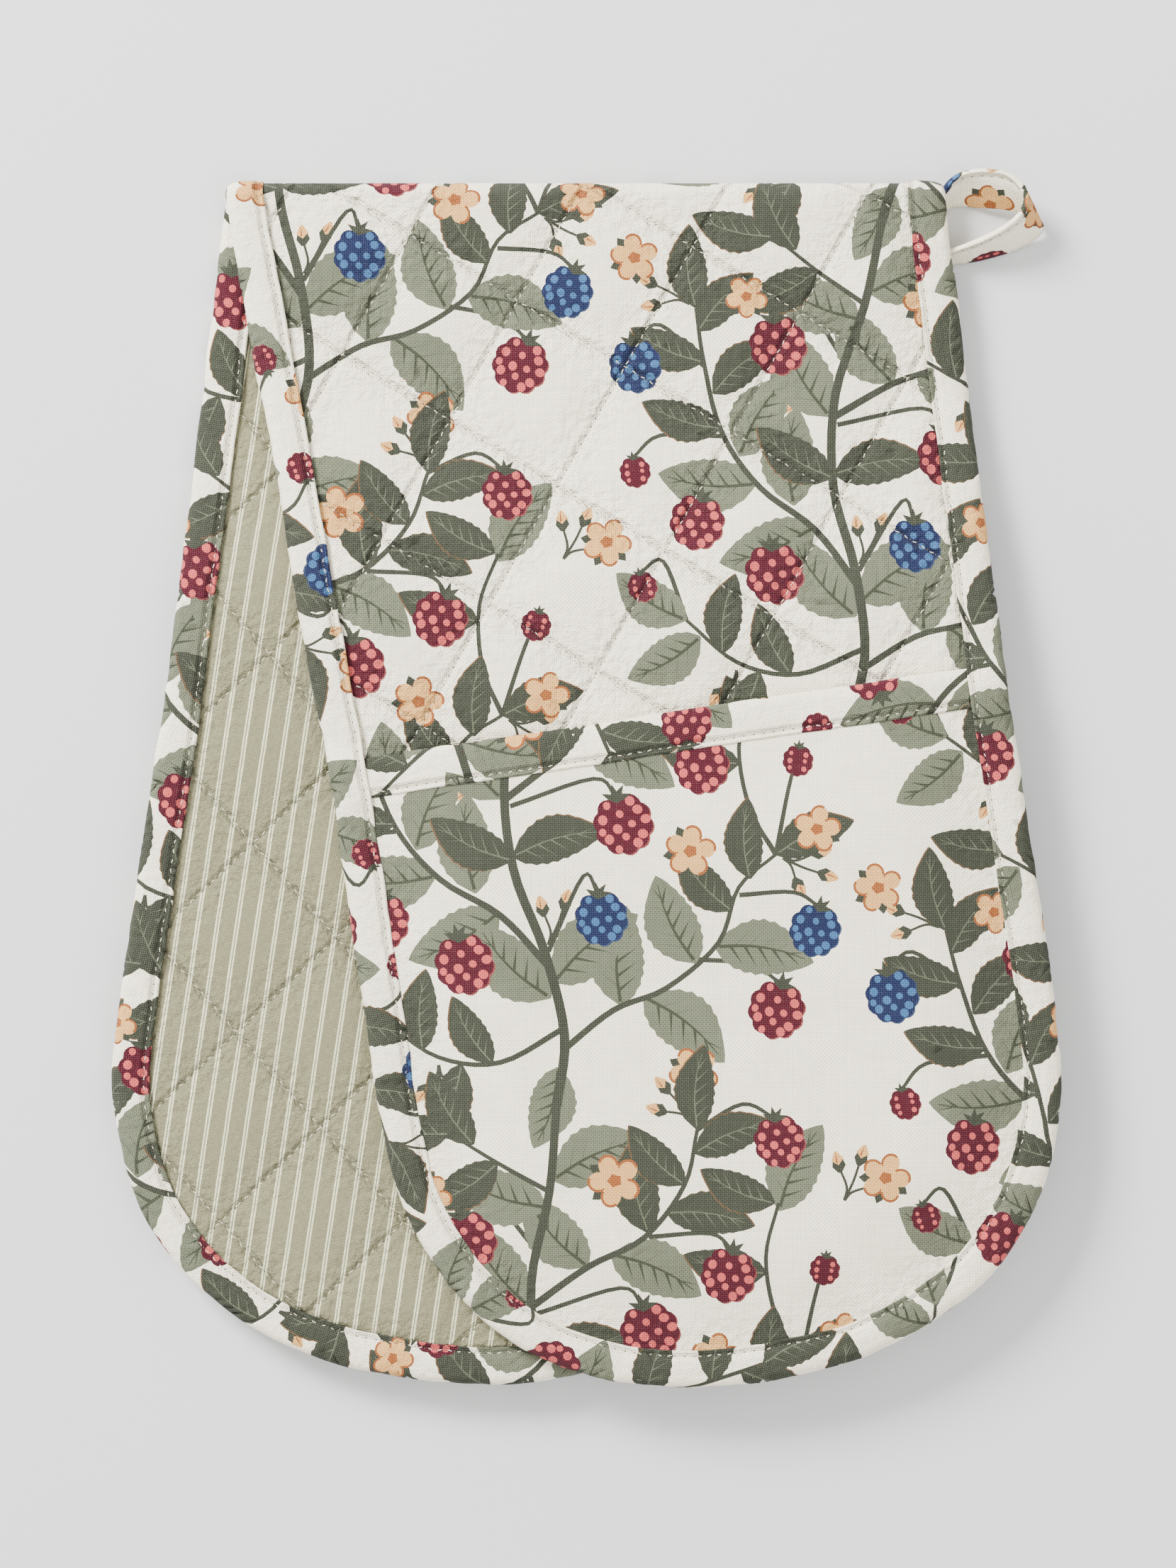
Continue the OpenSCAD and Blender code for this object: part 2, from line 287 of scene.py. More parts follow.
def puffed(half, flat):
    """The quilted relief: 0 on the seams, about 1 in the middle of the diamonds."""
    n = DIAMONDS * CELLS
    a, b = (np.mod(k, DIAMONDS) * CELLS for k in across_seams(half, flat))
    i, j = np.minimum(a.astype(int), n - 1), np.minimum(b.astype(int), n - 1)
    fa, fb = a - i, b - j
    return ((QUILT[i, j] * (1 - fa) + QUILT[i + 1, j] * fa) * (1 - fb)
            + (QUILT[i, j + 1] * (1 - fa) + QUILT[i + 1, j + 1] * fa) * fb)


def cover_depth(half, flat):
    """Depth of the printed cover: sunk at the seams, the binding, the pocket and the fold."""
    v, inset = along_strip(flat)[1], inset_of(flat)
    free = ease((inset - 8.5) / 9) * ease(flat[:, 1] / 9)
    lift = PUFF[half] * puffed(half, flat) + 0.12 * soft_noise(*flat.T, 21, 3)
    flat_zone = ease((v - MOUTH + 4) / 14)
    depth = SEAM_DIP[half] - free * lift
    depth = np.where(flat[:, 1] < 9, depth * ease(flat[:, 1] / 9), depth)
    return np.maximum(depth, flat_zone * 0.1 - (1 - flat_zone))


def lining_depth(half, flat):
    """Depth of the lining's face, seen from the other side of the pad."""
    inset = inset_of(flat)
    free = ease((inset - 8.5) / 9)
    lift = LINING_PUFF * puffed(half, flat) + 0.1 * soft_noise(*flat.T, 19, 5)
    depth = PAD - LINING_DIP + free * lift
    return np.where(flat[:, 1] < 12, PAD - 0.05, np.minimum(depth, PAD + 0.25))


def pocket_depth(flat):
    """Depth of the pocket panel's face, which stands up over the hand space."""
    v, inset = along_strip(flat)[1], inset_of(flat)
    opening = 0.46 + 0.54 * ease((v - MOUTH) / 42)
    rise = np.sin(math.pi / 2 * np.clip((inset - 9.2) / 30, 0, 1)) ** 1.25
    ripples = 0.16 * soft_noise(*flat.T, 6.5, 11) * ease((24 - inset) / 14)
    waves = 0.30 * soft_noise(*flat.T, 33, 13) + 0.10 * soft_noise(*flat.T, 12, 17)
    return -(POCKET_RIM + POCKET_RISE * rise * opening + (ripples + waves) * rise)


# ---------------------------------------------------------------- the print

# A climbing berry branch on a tile, in millimetres. Every second column of tiles is dropped by
# half a tile.
TILE_W, TILE_H = 150.0, 132.0

# The print's inks, in linear light. The first is the bare cloth.
INKS = {
    "cloth": (0.94, 0.86, 0.67), "dark_leaf": (0.034, 0.038, 0.025),
    "light_leaf": (0.118, 0.128, 0.083), "pale_vein": (0.094, 0.106, 0.066),
    "dark_vein": (0.038, 0.044, 0.026), "red": (0.060, 0.0045, 0.012),
    "red_edge": (0.19, 0.040, 0.038), "red_dot": (0.50, 0.080, 0.074),
    "blue": (0.0085, 0.0145, 0.051), "blue_edge": (0.024, 0.040, 0.088),
    "blue_dot": (0.038, 0.108, 0.230), "peach": (0.64, 0.345, 0.118),
    "orange_line": (0.26, 0.078, 0.020), "leaf_edge": (0.105, 0.058, 0.026)}


def turned(points, angle, at):
    c, s = math.cos(angle), math.sin(angle)
    return [(at[0] + x * c - y * s, at[1] + x * s + y * c) for x, y in points]


def smooth_curve(points, steps=5):
    """A smooth curve through given points."""
    p = [np.array(q, float) for q in points]
    p = [2 * p[0] - p[1]] + p + [2 * p[-1] - p[-2]]
    out = []
    for a, b, c, d in zip(p, p[1:], p[2:], p[3:]):
        for k in range(steps):
            t = k / steps
            out.append(0.5 * (2 * b + (c - a) * t + (2 * a - 5 * b + 4 * c - d) * t * t
                              + (3 * b - a - 3 * c + d) * t ** 3))
    return out + [p[-2]]


def stroke(points, wide_start, wide_end):
    """The outline of a tapering line along a curve."""
    curve = smooth_curve(points)
    left, right = [], []
    for i, q in enumerate(curve):
        way = curve[min(i + 1, len(curve) - 1)] - curve[max(i - 1, 0)]
        way /= max(np.hypot(*way), 1e-9)
        half = (wide_start + (wide_end - wide_start) * i / (len(curve) - 1)) / 2
        left.append((q[0] - way[1] * half, q[1] + way[0] * half))
        right.append((q[0] + way[1] * half, q[1] - way[0] * half))
    return left + right[::-1]


def ring(at, rx, ry, n, angle=0.0, bumps=0, bump=0.0):
    points = []
    for i in range(n):
        a = 2 * math.pi * i / n
        k = 1 + bump * abs(math.sin(bumps * a / 2))
        points.append((rx * k * math.cos(a), ry * k * math.sin(a)))
    return turned(points, angle, at)


def leaf(at, angle, length, dark, bend=0.07, teeth=8):
    """A toothed leaf with its veins, from the place of its stalk. A dark leaf has a brown edge."""
    angle = math.radians(angle)
    wide = 0.47 if dark else 0.55

    def half_wide(t):
        return wide * length / 2 * math.sin(math.pi * t ** 0.85) ** 0.8

    def middle(t):
        return bend * length * math.sin(math.pi * t)

    def side(sign):
        points = []
        for k in range(1, teeth + 1):
            t0, t1 = k / (teeth + 1), (k + 0.55) / (teeth + 1)
            points.append((t0 * length * 0.99, middle(t0) + sign * half_wide(t0) * 1.04))
            points.append((t1 * length, middle(t1) + sign * half_wide(t1) * 0.96))
        return points
    edge = [(0, -0.3), *side(-1), (length, middle(1.0)), *side(1)[::-1], (0, 0.3)]
    shapes = [("dark_leaf" if dark else "light_leaf", edge)]
    if dark:
        shapes.insert(0, ("leaf_edge", [(x + 0.25, y + 0.28) for x, y in edge]))
    vein, thick = ("pale_vein", 0.28) if dark else ("dark_vein", 0.62)
    rib = [(t * length, middle(t)) for t in (0.04, 0.35, 0.65, 0.9)]
    shapes.append((vein, stroke(rib, thick * 1.5, thick * 0.4)))
    for k in range(1, 6):
        for sign in (-1, 1):
            t = 0.02 + 0.14 * k + 0.02 * sign
            tip = (t + 0.17) * length, middle(t + 0.17) + sign * half_wide(t + 0.17) * 0.76
            shapes.append((vein, [(t * length, middle(t) - thick / 2), tip,
                                  (t * length + thick, middle(t) + thick / 2)]))
    return [(ink, turned(edge, angle, at)) for ink, edge in shapes]


def berry(at, size, blue, tilt=0.0):
    """A berry of round beads, with its leafy crown."""
    body = "blue" if blue else "red"
    r, tilt = size / 2, math.radians(tilt)
    off = (at[0] + 0.025 * size, at[1] - 0.022 * size)
    shapes = [(f"{body}_edge", ring(off, r * 0.90, r * 0.94, 40, tilt, 10, 0.11)),
              (body, ring(at, r * 0.90, r * 0.94, 40, tilt, 10, 0.11))]
    rows = ((0.66, 2), (0.30, 3), (-0.08, 4), (-0.44, 3), (-0.78, 2)) if size > 9 else (
        (0.38, 2), (-0.05, 2), (-0.48, 2))
    bead = 0.142 * r if size > 9 else 0.15 * r
    for row, (y, n) in enumerate(rows):
        reach = math.sqrt(1 - y * y) * (0, 0, 0.5, 0.66, 0.72)[n]
        for i in range(n):
            x = (i - (n - 1) / 2) * 2 * reach / max(n - 1, 1) + 0.05 * math.sin(7 * i + 3 * row)
            place = turned([(x * r, (y + 0.05 * math.cos(5 * i + 2 * row)) * r)], tilt, at)[0]
            big = bead * (1.12 if (row + i) % 2 else 0.88)
            shapes.append((f"{body}_dot", ring(place, big, big * 1.1, 9, tilt + 0.5 * i)))
    crown = turned([(0, r * 0.84)], tilt, at)[0]
    for a in (-82, -38, 6, 58):
        shapes.append(("dark_leaf", turned(
            [(-0.06 * size, -0.04 * size), (-0.055 * size, 0.12 * size), (0.01 * size, 0.27 * size),
             (0.05 * size, 0.11 * size), (0.06 * size, -0.04 * size)],
            tilt + math.radians(a), crown)))
    return shapes


def flower(at, size, tilt=0.0):
    """An open flower: five round petals, some with a drawn edge, three sepals and a middle."""
    r, shapes = size / 2, []
    petals = [math.radians(a + tilt) for a in (28, 100, 172, 244, 316)]
    for way in petals[1:4]:
        sepal = [(0.35, -0.10), (0.86, -0.20), (1.12, -0.02), (0.90, 0.18), (0.35, 0.10)]
        shapes.append(("dark_leaf", turned([(x * r, y * r) for x, y in sepal], way + 0.63, at)))
    for number, way in enumerate(petals):
        middle = turned([(0.62 * r, 0)], way, at)[0]
        claw = [(0, -0.12 * r), (0.5 * r, -0.26 * r), (0.5 * r, 0.26 * r), (0, 0.12 * r)]
        shapes.append(("peach", turned(claw, way, at)))
        shapes.append(("peach", ring(middle, 0.40 * r, 0.36 * r, 14, way, 2, 0.06)))
        sweep = np.linspace(-1.9, 0.9, 8) if number % 2 else np.linspace(-0.5, 2.2, 8)
        band = [(k * math.cos(t), 0.92 * k * math.sin(t)) for k, order in ((0.43, 1), (0.325, -1))
                for t in sweep[::order]]
        shapes.append(("orange_line", turned([(x * r, y * r) for x, y in band], way, middle)))
    shapes.append(("orange_line", ring(at, 0.23 * r, 0.21 * r, 10, 0.0, 5, 0.3)))
    return shapes


def bud(at, angle, size=4.2):
    """A closed bud on its cup."""
    way = math.radians(angle)
    parts = (("peach", ((0, -0.32), (0.5, -0.36), (1.0, -0.05), (0.95, 0.12), (0.5, 0.36),
                        (0, 0.3))),
             ("orange_line", ((0.3, 0.02), (1.0, 0.03), (0.3, 0.13))),
             ("dark_leaf", ((-0.3, -0.1), (0.1, -0.42), (0.45, -0.3), (0.15, 0), (0.42, 0.32),
                            (0.1, 0.4), (-0.3, 0.12))))
    return [(ink, turned([(x * size, y * size) for x, y in edge], way, at)) for ink, edge in parts]


def sprig(at, angle):
    """A thin twig with three buds."""
    way, shapes = math.radians(angle), []
    for x, y, turn in ((13, 1, 8), (9, 5, 40), (8, -4, -34)):
        twig = stroke(((2 if y else 0, 0), (0.6 * x, 0.2 * y), (x, y)), 0.8, 0.6)
        shapes.append(("dark_leaf", turned(twig, way, at)))
        shapes += bud(turned([(x, y)], way, at)[0], angle + turn, 4.4)
    return shapes


# Width at the start, at the end, and the places that each stem goes through.
STEMS = (
    (2.6, 2.2, ((74, -2), (77, 16), (73, 38), (66, 60), (65, 84), (71, 108), (74, 130))),
    (2.0, 1.0, ((74, 34), (62, 48), (47, 58), (36, 72), (30, 90), (27, 104))),
    (2.0, 1.0, ((65, 78), (80, 88), (95, 95), (106, 108), (110, 122))),
    (1.8, 0.9, ((76, 12), (90, 22), (104, 27), (118, 38), (124, 52), (134, 60))),
    (1.4, 0.8, ((71, 108), (58, 116), (46, 124))),
    (1.6, 0.9, ((77, 18), (60, 10), (44, 12), (30, 22))),
    (1.4, 0.9, ((134, 60), (128, 72), (126, 88), (130, 102))),
)
# Place on the cloth, direction, length, and 1 for a dark leaf.
LEAVES = (
    (62, 49, 205, 27, 0), (56, 54, 92, 26, 0), (46, 59, 178, 26, 0), (41, 66, 62, 25, 0),
    (36, 73, 165, 22, 1), (33, 82, 42, 22, 1), (30, 90, 158, 21, 1), (28, 98, 50, 21, 1),
    (27, 104, 98, 22, 1),
    (80, 88, 128, 25, 0), (86, 91, -28, 26, 0), (96, 96, 95, 25, 1), (101, 101, -12, 23, 1),
    (106, 108, 130, 21, 1), (109, 116, 18, 22, 1), (110, 122, 82, 22, 1),
    (92, 23, 84, 26, 0), (98, 25, -42, 27, 0), (112, 33, 112, 25, 0), (117, 37, -12, 26, 0),
    (122, 46, 128, 21, 1), (127, 54, 88, 21, 1), (134, 60, 20, 22, 1),
    (66, 63, 12, 25, 1), (66, 62, 150, 24, 1), (72, 111, 20, 27, 0), (58, 116, 208, 22, 1),
    (52, 121, 118, 22, 1), (46, 124, 168, 22, 1),
    (58, 10, 118, 20, 1), (50, 10, 244, 21, 1), (40, 14, 84, 21, 1), (34, 18, 214, 22, 0),
    (30, 22, 150, 22, 0), (75, 8, 250, 22, 0), (130, 100, 60, 25, 0), (129, 102, 152, 21, 1),
    (64, 78, 122, 28, 0), (74, 26, 132, 27, 0), (75, 30, 36, 28, 0), (126, 84, 164, 22, 1),
    (70, 104, 158, 26, 0),
)
# Place, size, 1 for blue, tilt, where its stalk leaves a stem, and a point on the way.
BERRIES = (
    (52, 36, 15.6, 0, 10, (60, 50), (54, 48)), (31, 48, 14.4, 0, -8, (45, 59), (35, 58)),
    (14, 60, 8.2, 0, 12, (36, 71), (20, 70)), (95, 70, 15.6, 0, 12, (66, 76), (88, 82)),
    (116, 84, 14.4, 0, -14, (96, 95), (112, 95)), (141, 84, 8.0, 0, -10, (134, 60), (138, 76)),
    (49, 96, 15.2, 0, 14, (66, 94), (56, 106)), (88, 46, 13.8, 1, 4, (74, 38), (84, 57)),
    (12, 88, 13.8, 1, 10, (30, 89), (18, 99)), (143, 40, 13.4, 1, -16, (124, 50), (138, 50)),
    (132, 20, 14.8, 0, -16, (112, 34), (126, 32)), (18, 30, 7.8, 0, 16, (30, 22), (23, 37)),
    (131, 118, 13.4, 0, 8, (110, 122), (122, 128)),
)
# Place, size and tilt of the open flowers.
FLOWERS = ((88, 110, 13.6, 10), (8, 41, 12.6, 40), (112, 62, 13.0, -20), (110, 5, 12.8, 15),
           (145, 66, 12.0, 50), (10, 116, 12.4, 0), (40, 108, 11.0, 30))
# Where a sprig of buds leaves a stem, and its direction.
SPRIGS = ((73, 38, 60), (27, 104, 150), (110, 122, 120), (104, 27, -70), (134, 60, -30),
          (44, 12, 270), (65, 84, 170), (146, 100, 60))


def tile_shapes():
    """Every shape of one tile as (ink, edge), the lowest first. The branch grows towards the
    fold."""
    shapes = []
    for x, y, angle in SPRIGS:
        shapes += sprig((x, y), angle)
    for x, y, size, blue, tilt, start, way in BERRIES:
        top = turned([(0, 0.45 * size)], math.radians(tilt), (x, y))[0]
        shapes.append(("dark_leaf", stroke((start, way, top), 1.3, 0.9)))
    for x, y, angle, length, dark in LEAVES:
        if not dark:
            shapes += leaf((x, y), angle, length, dark)
    for wide_start, wide_end, places in STEMS:
        shapes.append(("dark_leaf", stroke(places, wide_start, wide_end)))
    for x, y, angle, length, dark in LEAVES:
        if dark:
            shapes += leaf((x, y), angle, length, dark)
    for x, y, size, tilt in FLOWERS:
        shapes += flower((x, y), size, tilt)
    for x, y, size, blue, tilt, start, way in BERRIES:
        shapes += berry((x, y), size, blue, tilt)
    return [(ink, np.array(edge) * (1, -1)) for ink, edge in shapes]


TILE = tile_shapes()


def print_over(low, high, shift, turn):
    """The printed shapes that reach a flat area. The print is turned and moved on the cloth."""
    c, s = math.cos(turn), math.sin(turn)
    back = np.array([[c, s], [-s, c]])
    corners = np.array([low, (low[0], high[1]), high, (high[0], low[1])])
    tile_corners = (corners - shift) @ back.T
    first = np.floor(tile_corners.min(axis=0) / (TILE_W, TILE_H)).astype(int) - 1
    last = np.ceil(tile_corners.max(axis=0) / (TILE_W, TILE_H)).astype(int) + 1
    found = []
    for column in range(first[0], last[0] + 1):
        for row in range(first[1], last[1] + 1):
            move = np.array([column * TILE_W, (row + 0.5 * (column % 2)) * TILE_H])
            for ink, edge in TILE:
                placed = (edge + move) @ back + shift
                if (placed.max(axis=0) > low).all() and (placed.min(axis=0) < high).all():
                    found.append((ink, placed))
    return found


def inside(points, edge):
    """Which points lie inside a closed edge."""
    hit = np.zeros(len(points), bool)
    x, y = points[:, 0], points[:, 1]
    for (x0, y0), (x1, y1) in zip(edge, np.roll(edge, -1, axis=0)):
        if y0 != y1:
            crossing = (y0 > y) != (y1 > y)
            hit ^= crossing & (x < x0 + (x1 - x0) * (y - y0) / (y1 - y0))
    return hit


def cut_cloth(edge, filling, shift=(0, 0), turn=0.0, plain=None):
    """Cuts cloth along a closed edge and splits it along the print's outlines, with filling
    points between. No print is made inside plain, a closed edge. Returns flat points,
    triangles and each triangle's ink."""
    low, high = edge.min(axis=0), edge.max(axis=0)
    shapes = print_over(low, high, np.array(shift, float), turn)
    if plain is not None:
        shapes = [s for s in shapes if not inside(s[1], plain).all()]
    loops = [edge] + [s[1] for s in shapes]
    points = [Vector(p) for loop in loops for p in loop] + [Vector(p) for p in filling]
    lines, start = [], 0
    for loop in loops:
        lines += [(start + i, start + (i + 1) % len(loop)) for i in range(len(loop))]
        start += len(loop)
    places, _, faces, *_ = delaunay_2d_cdt(points, lines, [], 0, 1e-3)
    places = np.array([tuple(p) for p in places])
    faces = np.array([f for f in faces if len(f) == 3])
    middle = places[faces].mean(axis=1)
    kept = inside(middle, edge)
    faces, middle = faces[kept], middle[kept]
    order = np.argsort(middle[:, 0])
    faces, middle = faces[order], middle[order]
    ink = np.zeros(len(faces), int)
    for name, loop in shapes:
        a, b = np.searchsorted(middle[:, 0], (loop[:, 0].min(), loop[:, 0].max()))
        near = np.arange(a, b)
        y = middle[a:b, 1]
        near = near[(y > loop[:, 1].min()) & (y < loop[:, 1].max())]
        if len(near):
            ink[near[inside(middle[near], loop)]] = list(INKS).index(name)
    used, faces = np.unique(faces, return_inverse=True)
    return places[used], faces.reshape(-1, 3), ink


def grid_inside(edge, spacing, margin=0.6):
    """Staggered points inside an edge, clear of it."""
    low, high = edge.min(axis=0), edge.max(axis=0)
    rows = []
    for k, y in enumerate(np.arange(low[1] + margin, high[1], spacing * 0.87)):
        x = np.arange(low[0] + (k % 2) * spacing / 2 + margin, high[0], spacing)
        rows.append(np.stack([x, np.full(len(x), y)], axis=1))
    points = np.concatenate(rows)
    points = points[inside(points, edge)]
    return points[gap_to(points, np.concatenate([edge, edge[:1]])) > margin]


# ---------------------------------------------------------------- materials


class Nodes:
    """Adds nodes to a material and joins them up in one line each."""

    def __init__(self, name):
        self.material = bpy.data.materials.new(name)
        self.material.use_nodes = True
        self.tree = self.material.node_tree
        self.shader = self.tree.nodes["Principled BSDF"]

    def add(self, kind, settings=None, **inputs):
        node = self.tree.nodes.new(kind)
        for name, value in (settings or {}).items():
            setattr(node, name, value)
        for name, value in inputs.items():
            socket = node.inputs[int(name[1:])] if name[1:].isdigit() else node.inputs[name]
            self.put(socket, value)
        return node.outputs

    def put(self, socket, value):
        if isinstance(value, bpy.types.NodeSocket):
            self.tree.links.new(value, socket)
        else:
            socket.default_value = value

    def surface(self, name, value):
        self.put(self.shader.inputs[name], value)

    def maths(self, operation, a, b=0.5, c=0.0):
        return self.add("ShaderNodeMath", {"operation": operation}, _0=a, _1=b, _2=c)[0]

    def times(self, a, b):
        return self.maths("MULTIPLY", a, b)

    def noise(self, place, scale, detail, **inputs):
        return self.add("ShaderNodeTexNoise", Vector=place, Scale=scale, Detail=detail,
                        **inputs)[0]

    def stretched(self, place, *scale):
        return self.add("ShaderNodeMapping", Vector=place, Scale=scale)[0]

    def attribute(self, name, part=2):
        """A value held by the mesh, or its colour as part 0."""
        return self.add("ShaderNodeAttribute", {"attribute_name": name})[part]

    def mix(self, share, a, b, kind="MIX"):
        settings = {"data_type": "RGBA", "blend_type": kind}
        return self.add("ShaderNodeMix", settings, _0=share, _6=a, _7=b)[2]

    def dim(self, colour, share):
        grey = self.add("ShaderNodeCombineColor", _0=share, _1=share, _2=share)[0]
        return self.mix(1.0, colour, grey, "MULTIPLY")

    def soften(self, value, low, high, to_low=0.0, to_high=1.0):
        return self.add("ShaderNodeMapRange", {"interpolation_type": "SMOOTHSTEP"},
                        _0=value, _1=low, _2=high, _3=to_low, _4=to_high)[0]

    def bump(self, height, distance, strength=1.0, normal=None):
        out = self.add("ShaderNodeBump", _0=strength, _1=distance, Height=height)
        if normal is not None:
            self.put(out[0].node.inputs["Normal"], normal)
        return out[0]


def opaque(*colour):
    return (*colour, 1.0)


def weave(nodes, u, v, pitch, slubs):
    """Height of a plain weave: threads pass over and under each other, and differ in width."""
    across = nodes.times(u, math.pi / pitch)
    along = nodes.times(v, math.pi / pitch)
    waver = nodes.times(slubs, 1.6)
    warp, weft = (nodes.maths("ABSOLUTE", nodes.maths("SINE", nodes.maths("ADD", k, waver)))
                  for k in (across, along))
    over = nodes.times(nodes.maths("COSINE", across), nodes.maths("COSINE", along))
    threads = nodes.times(warp, weft)
    return nodes.maths("MULTIPLY_ADD", over, 0.3, threads)


def cloth_places(nodes):
    """The cloth's own two directions in millimetres, and a slow variation of its threads."""
    uv = nodes.add("ShaderNodeUVMap", {"uv_map": "cloth"})[0]
    parts = nodes.add("ShaderNodeSeparateXYZ", _0=uv)
    slubs = nodes.maths("ADD", nodes.noise(nodes.stretched(uv, 0.05, 0.9, 1), 2.0, 2.0),
                        nodes.noise(nodes.stretched(uv, 0.9, 0.05, 1), 2.0, 2.0))
    return uv, parts[0], parts[1], nodes.maths("SUBTRACT", slubs, 1.0)


def seam_groove(nodes):
    """1 along a row of stitches, from the distances to the two families of rows, and how much
    light reaches the bottom of its groove."""
    near = []
    for name, pitch in zip(("seam_a", "seam_b"), QUILT_PITCHES):
        distance = nodes.attribute(name)
        near.append(nodes.maths("PINGPONG", distance, pitch / 2))
    nearest = nodes.maths("MINIMUM", *near)
    return nodes.soften(nearest, 0.0, 1.5, 1.0, 0.0), nodes.soften(nearest, 0.08, 0.40, 0.76, 1.0)


def seam_pucker(nodes, uv):
    """Small gathers that run out from a seam, by the closeness held in the pucker attribute."""
    near = nodes.attribute("pucker")
    gathers = nodes.noise(uv, 0.36, 3.0, Roughness=0.55)
    return nodes.times(nodes.maths("SUBTRACT", gathers, 0.5), near)


WEAVE_DEPTH = 0.00009


def finish_cloth(nodes, colour, height, uv):
    """Seams, gathers, fuzz and weave over a coloured cloth."""
    groove, light = seam_groove(nodes)
    sunk = nodes.bump(nodes.times(groove, -1.0), 0.0007, 1.0)
    fold = nodes.bump(seam_pucker(nodes, uv), 0.0017, 0.85, sunk)
    fuzz = nodes.noise(uv, 5.0, 3.0)
    fine = nodes.bump(fuzz, 0.00005, 0.5, fold)
    nodes.surface("Normal", nodes.bump(height, WEAVE_DEPTH, 0.8, fine))
    nodes.surface("Base Color", nodes.dim(colour, light))
    nodes.surface("Roughness", nodes.soften(height, 0.0, 1.3, 0.95, 0.8))
    nodes.surface("Specular IOR Level", 0.12)
    nodes.surface("Sheen Weight", 0.03)
    nodes.surface("Sheen Roughness", 0.6)
    return nodes.material


def printed_canvas(name):
    """Cotton canvas with the print in its ink attribute, the ink thinner on the thread crowns, and
    painted shade where the threads dip.
    """
    nodes = Nodes(name)
    uv, u, v, slubs = cloth_places(nodes)
    threads = weave(nodes, u, v, 0.53, slubs)
    ink = nodes.attribute("ink", 0)
    # Painted shade where the threads dip, and a slight painted highlight on their crowns.
    gaps = nodes.soften(threads, 0.0, 0.75, 0.64, 1.06)
    crowns = nodes.soften(threads, 0.75, 1.25, 0.0, 0.16)
    ink = nodes.mix(crowns, ink, opaque(*INKS["cloth"]))
    blotch = nodes.noise(uv, 0.09, 3.0)
    # The painted dip shade times a slow random tone of the cloth.
    dip_shade_and_blotch = nodes.times(gaps, nodes.soften(blotch, 0.3, 0.7, 0.95, 1.03))
    shade = nodes.maths("MULTIPLY_ADD", slubs, 0.16, dip_shade_and_blotch)
    return finish_cloth(nodes, nodes.dim(ink, shade), threads, uv)


def striped_cotton(name):
    """Sage lining cotton with double white thread stripes along the strip."""
    nodes = Nodes(name)
    uv, u, v, slubs = cloth_places(nodes)
    threads = weave(nodes, u, v, 0.42, slubs)
    wander = nodes.maths("MULTIPLY_ADD", slubs, 0.25, u)
    place = nodes.maths("PINGPONG", wander, STRIPE_PITCH / 2)
    line = nodes.maths("ABSOLUTE", nodes.maths("SUBTRACT", place, 0.36))
    stripe = nodes.soften(line, 0.10, 0.30, 1.0, 0.0)
    fleck = nodes.noise(nodes.stretched(uv, 0.5, 3.0, 1), 1.6, 3.0)
    ground = nodes.mix(nodes.soften(fleck, 0.3, 0.7), opaque(0.165, 0.156, 0.094),
                       opaque(0.242, 0.228, 0.132))
    colour = nodes.mix(nodes.times(stripe, 0.85), ground, opaque(0.78, 0.76, 0.50))
    # Painted shade where the threads dip, and a slight painted highlight on their crowns.
    dark = nodes.soften(threads, 0.0, 0.8, 0.80, 1.03)
    return finish_cloth(nodes, nodes.dim(colour, dark), threads, uv)


def twisted_thread(name):
    """Off-white thread, with painted shadow on the part that has sunk into a needle hole."""
    nodes = Nodes(name)
    place = nodes.add("ShaderNodeTexCoord")["Object"]
    twist = nodes.add("ShaderNodeTexWave", {"wave_type": "BANDS", "bands_direction": "DIAGONAL"},
                      Vector=place, Scale=900.0, Distortion=2.0)[1]
    # Painted shade: the thread darker in bands along its twist, where the strands meet.
    strands = nodes.mix(twist, opaque(0.52, 0.47, 0.34), opaque(0.86, 0.79, 0.60))
    # Painted shadow: nearly black on the blobs marked sunk, standing in for the shade inside a needle
    # hole.
    sunk = nodes.attribute("sunk")
    nodes.surface("Base Color", nodes.mix(sunk, strands, opaque(0.085, 0.066, 0.043)))
    nodes.surface("Roughness", nodes.soften(twist, 0, 1, 0.75, 0.6))
    nodes.surface("Normal", nodes.bump(twist, 0.00006, 0.6))
    return nodes.material


def felted_wadding(name):
    nodes = Nodes(name)
    place = nodes.add("ShaderNodeTexCoord")["Object"]
    fibres = nodes.noise(place, 700.0, 5.0, Distortion=2.5)
    nodes.surface("Base Color", nodes.mix(fibres, opaque(0.62, 0.58, 0.46), opaque(0.88, 0.84, 0.70)))
    nodes.surface("Roughness", nodes.soften(fibres, 0, 1, 1.0, 0.85))
    nodes.surface("Normal", nodes.bump(fibres, 0.0004, 0.7))
    return nodes.material


CANVAS = printed_canvas("printed_canvas")
LINING = striped_cotton("striped_cotton")
THREAD = twisted_thread("sewing_thread")
WADDING = felted_wadding("felted_wadding")


# ---------------------------------------------------------------- making pieces


FAR_FROM_SEAMS = 15.0


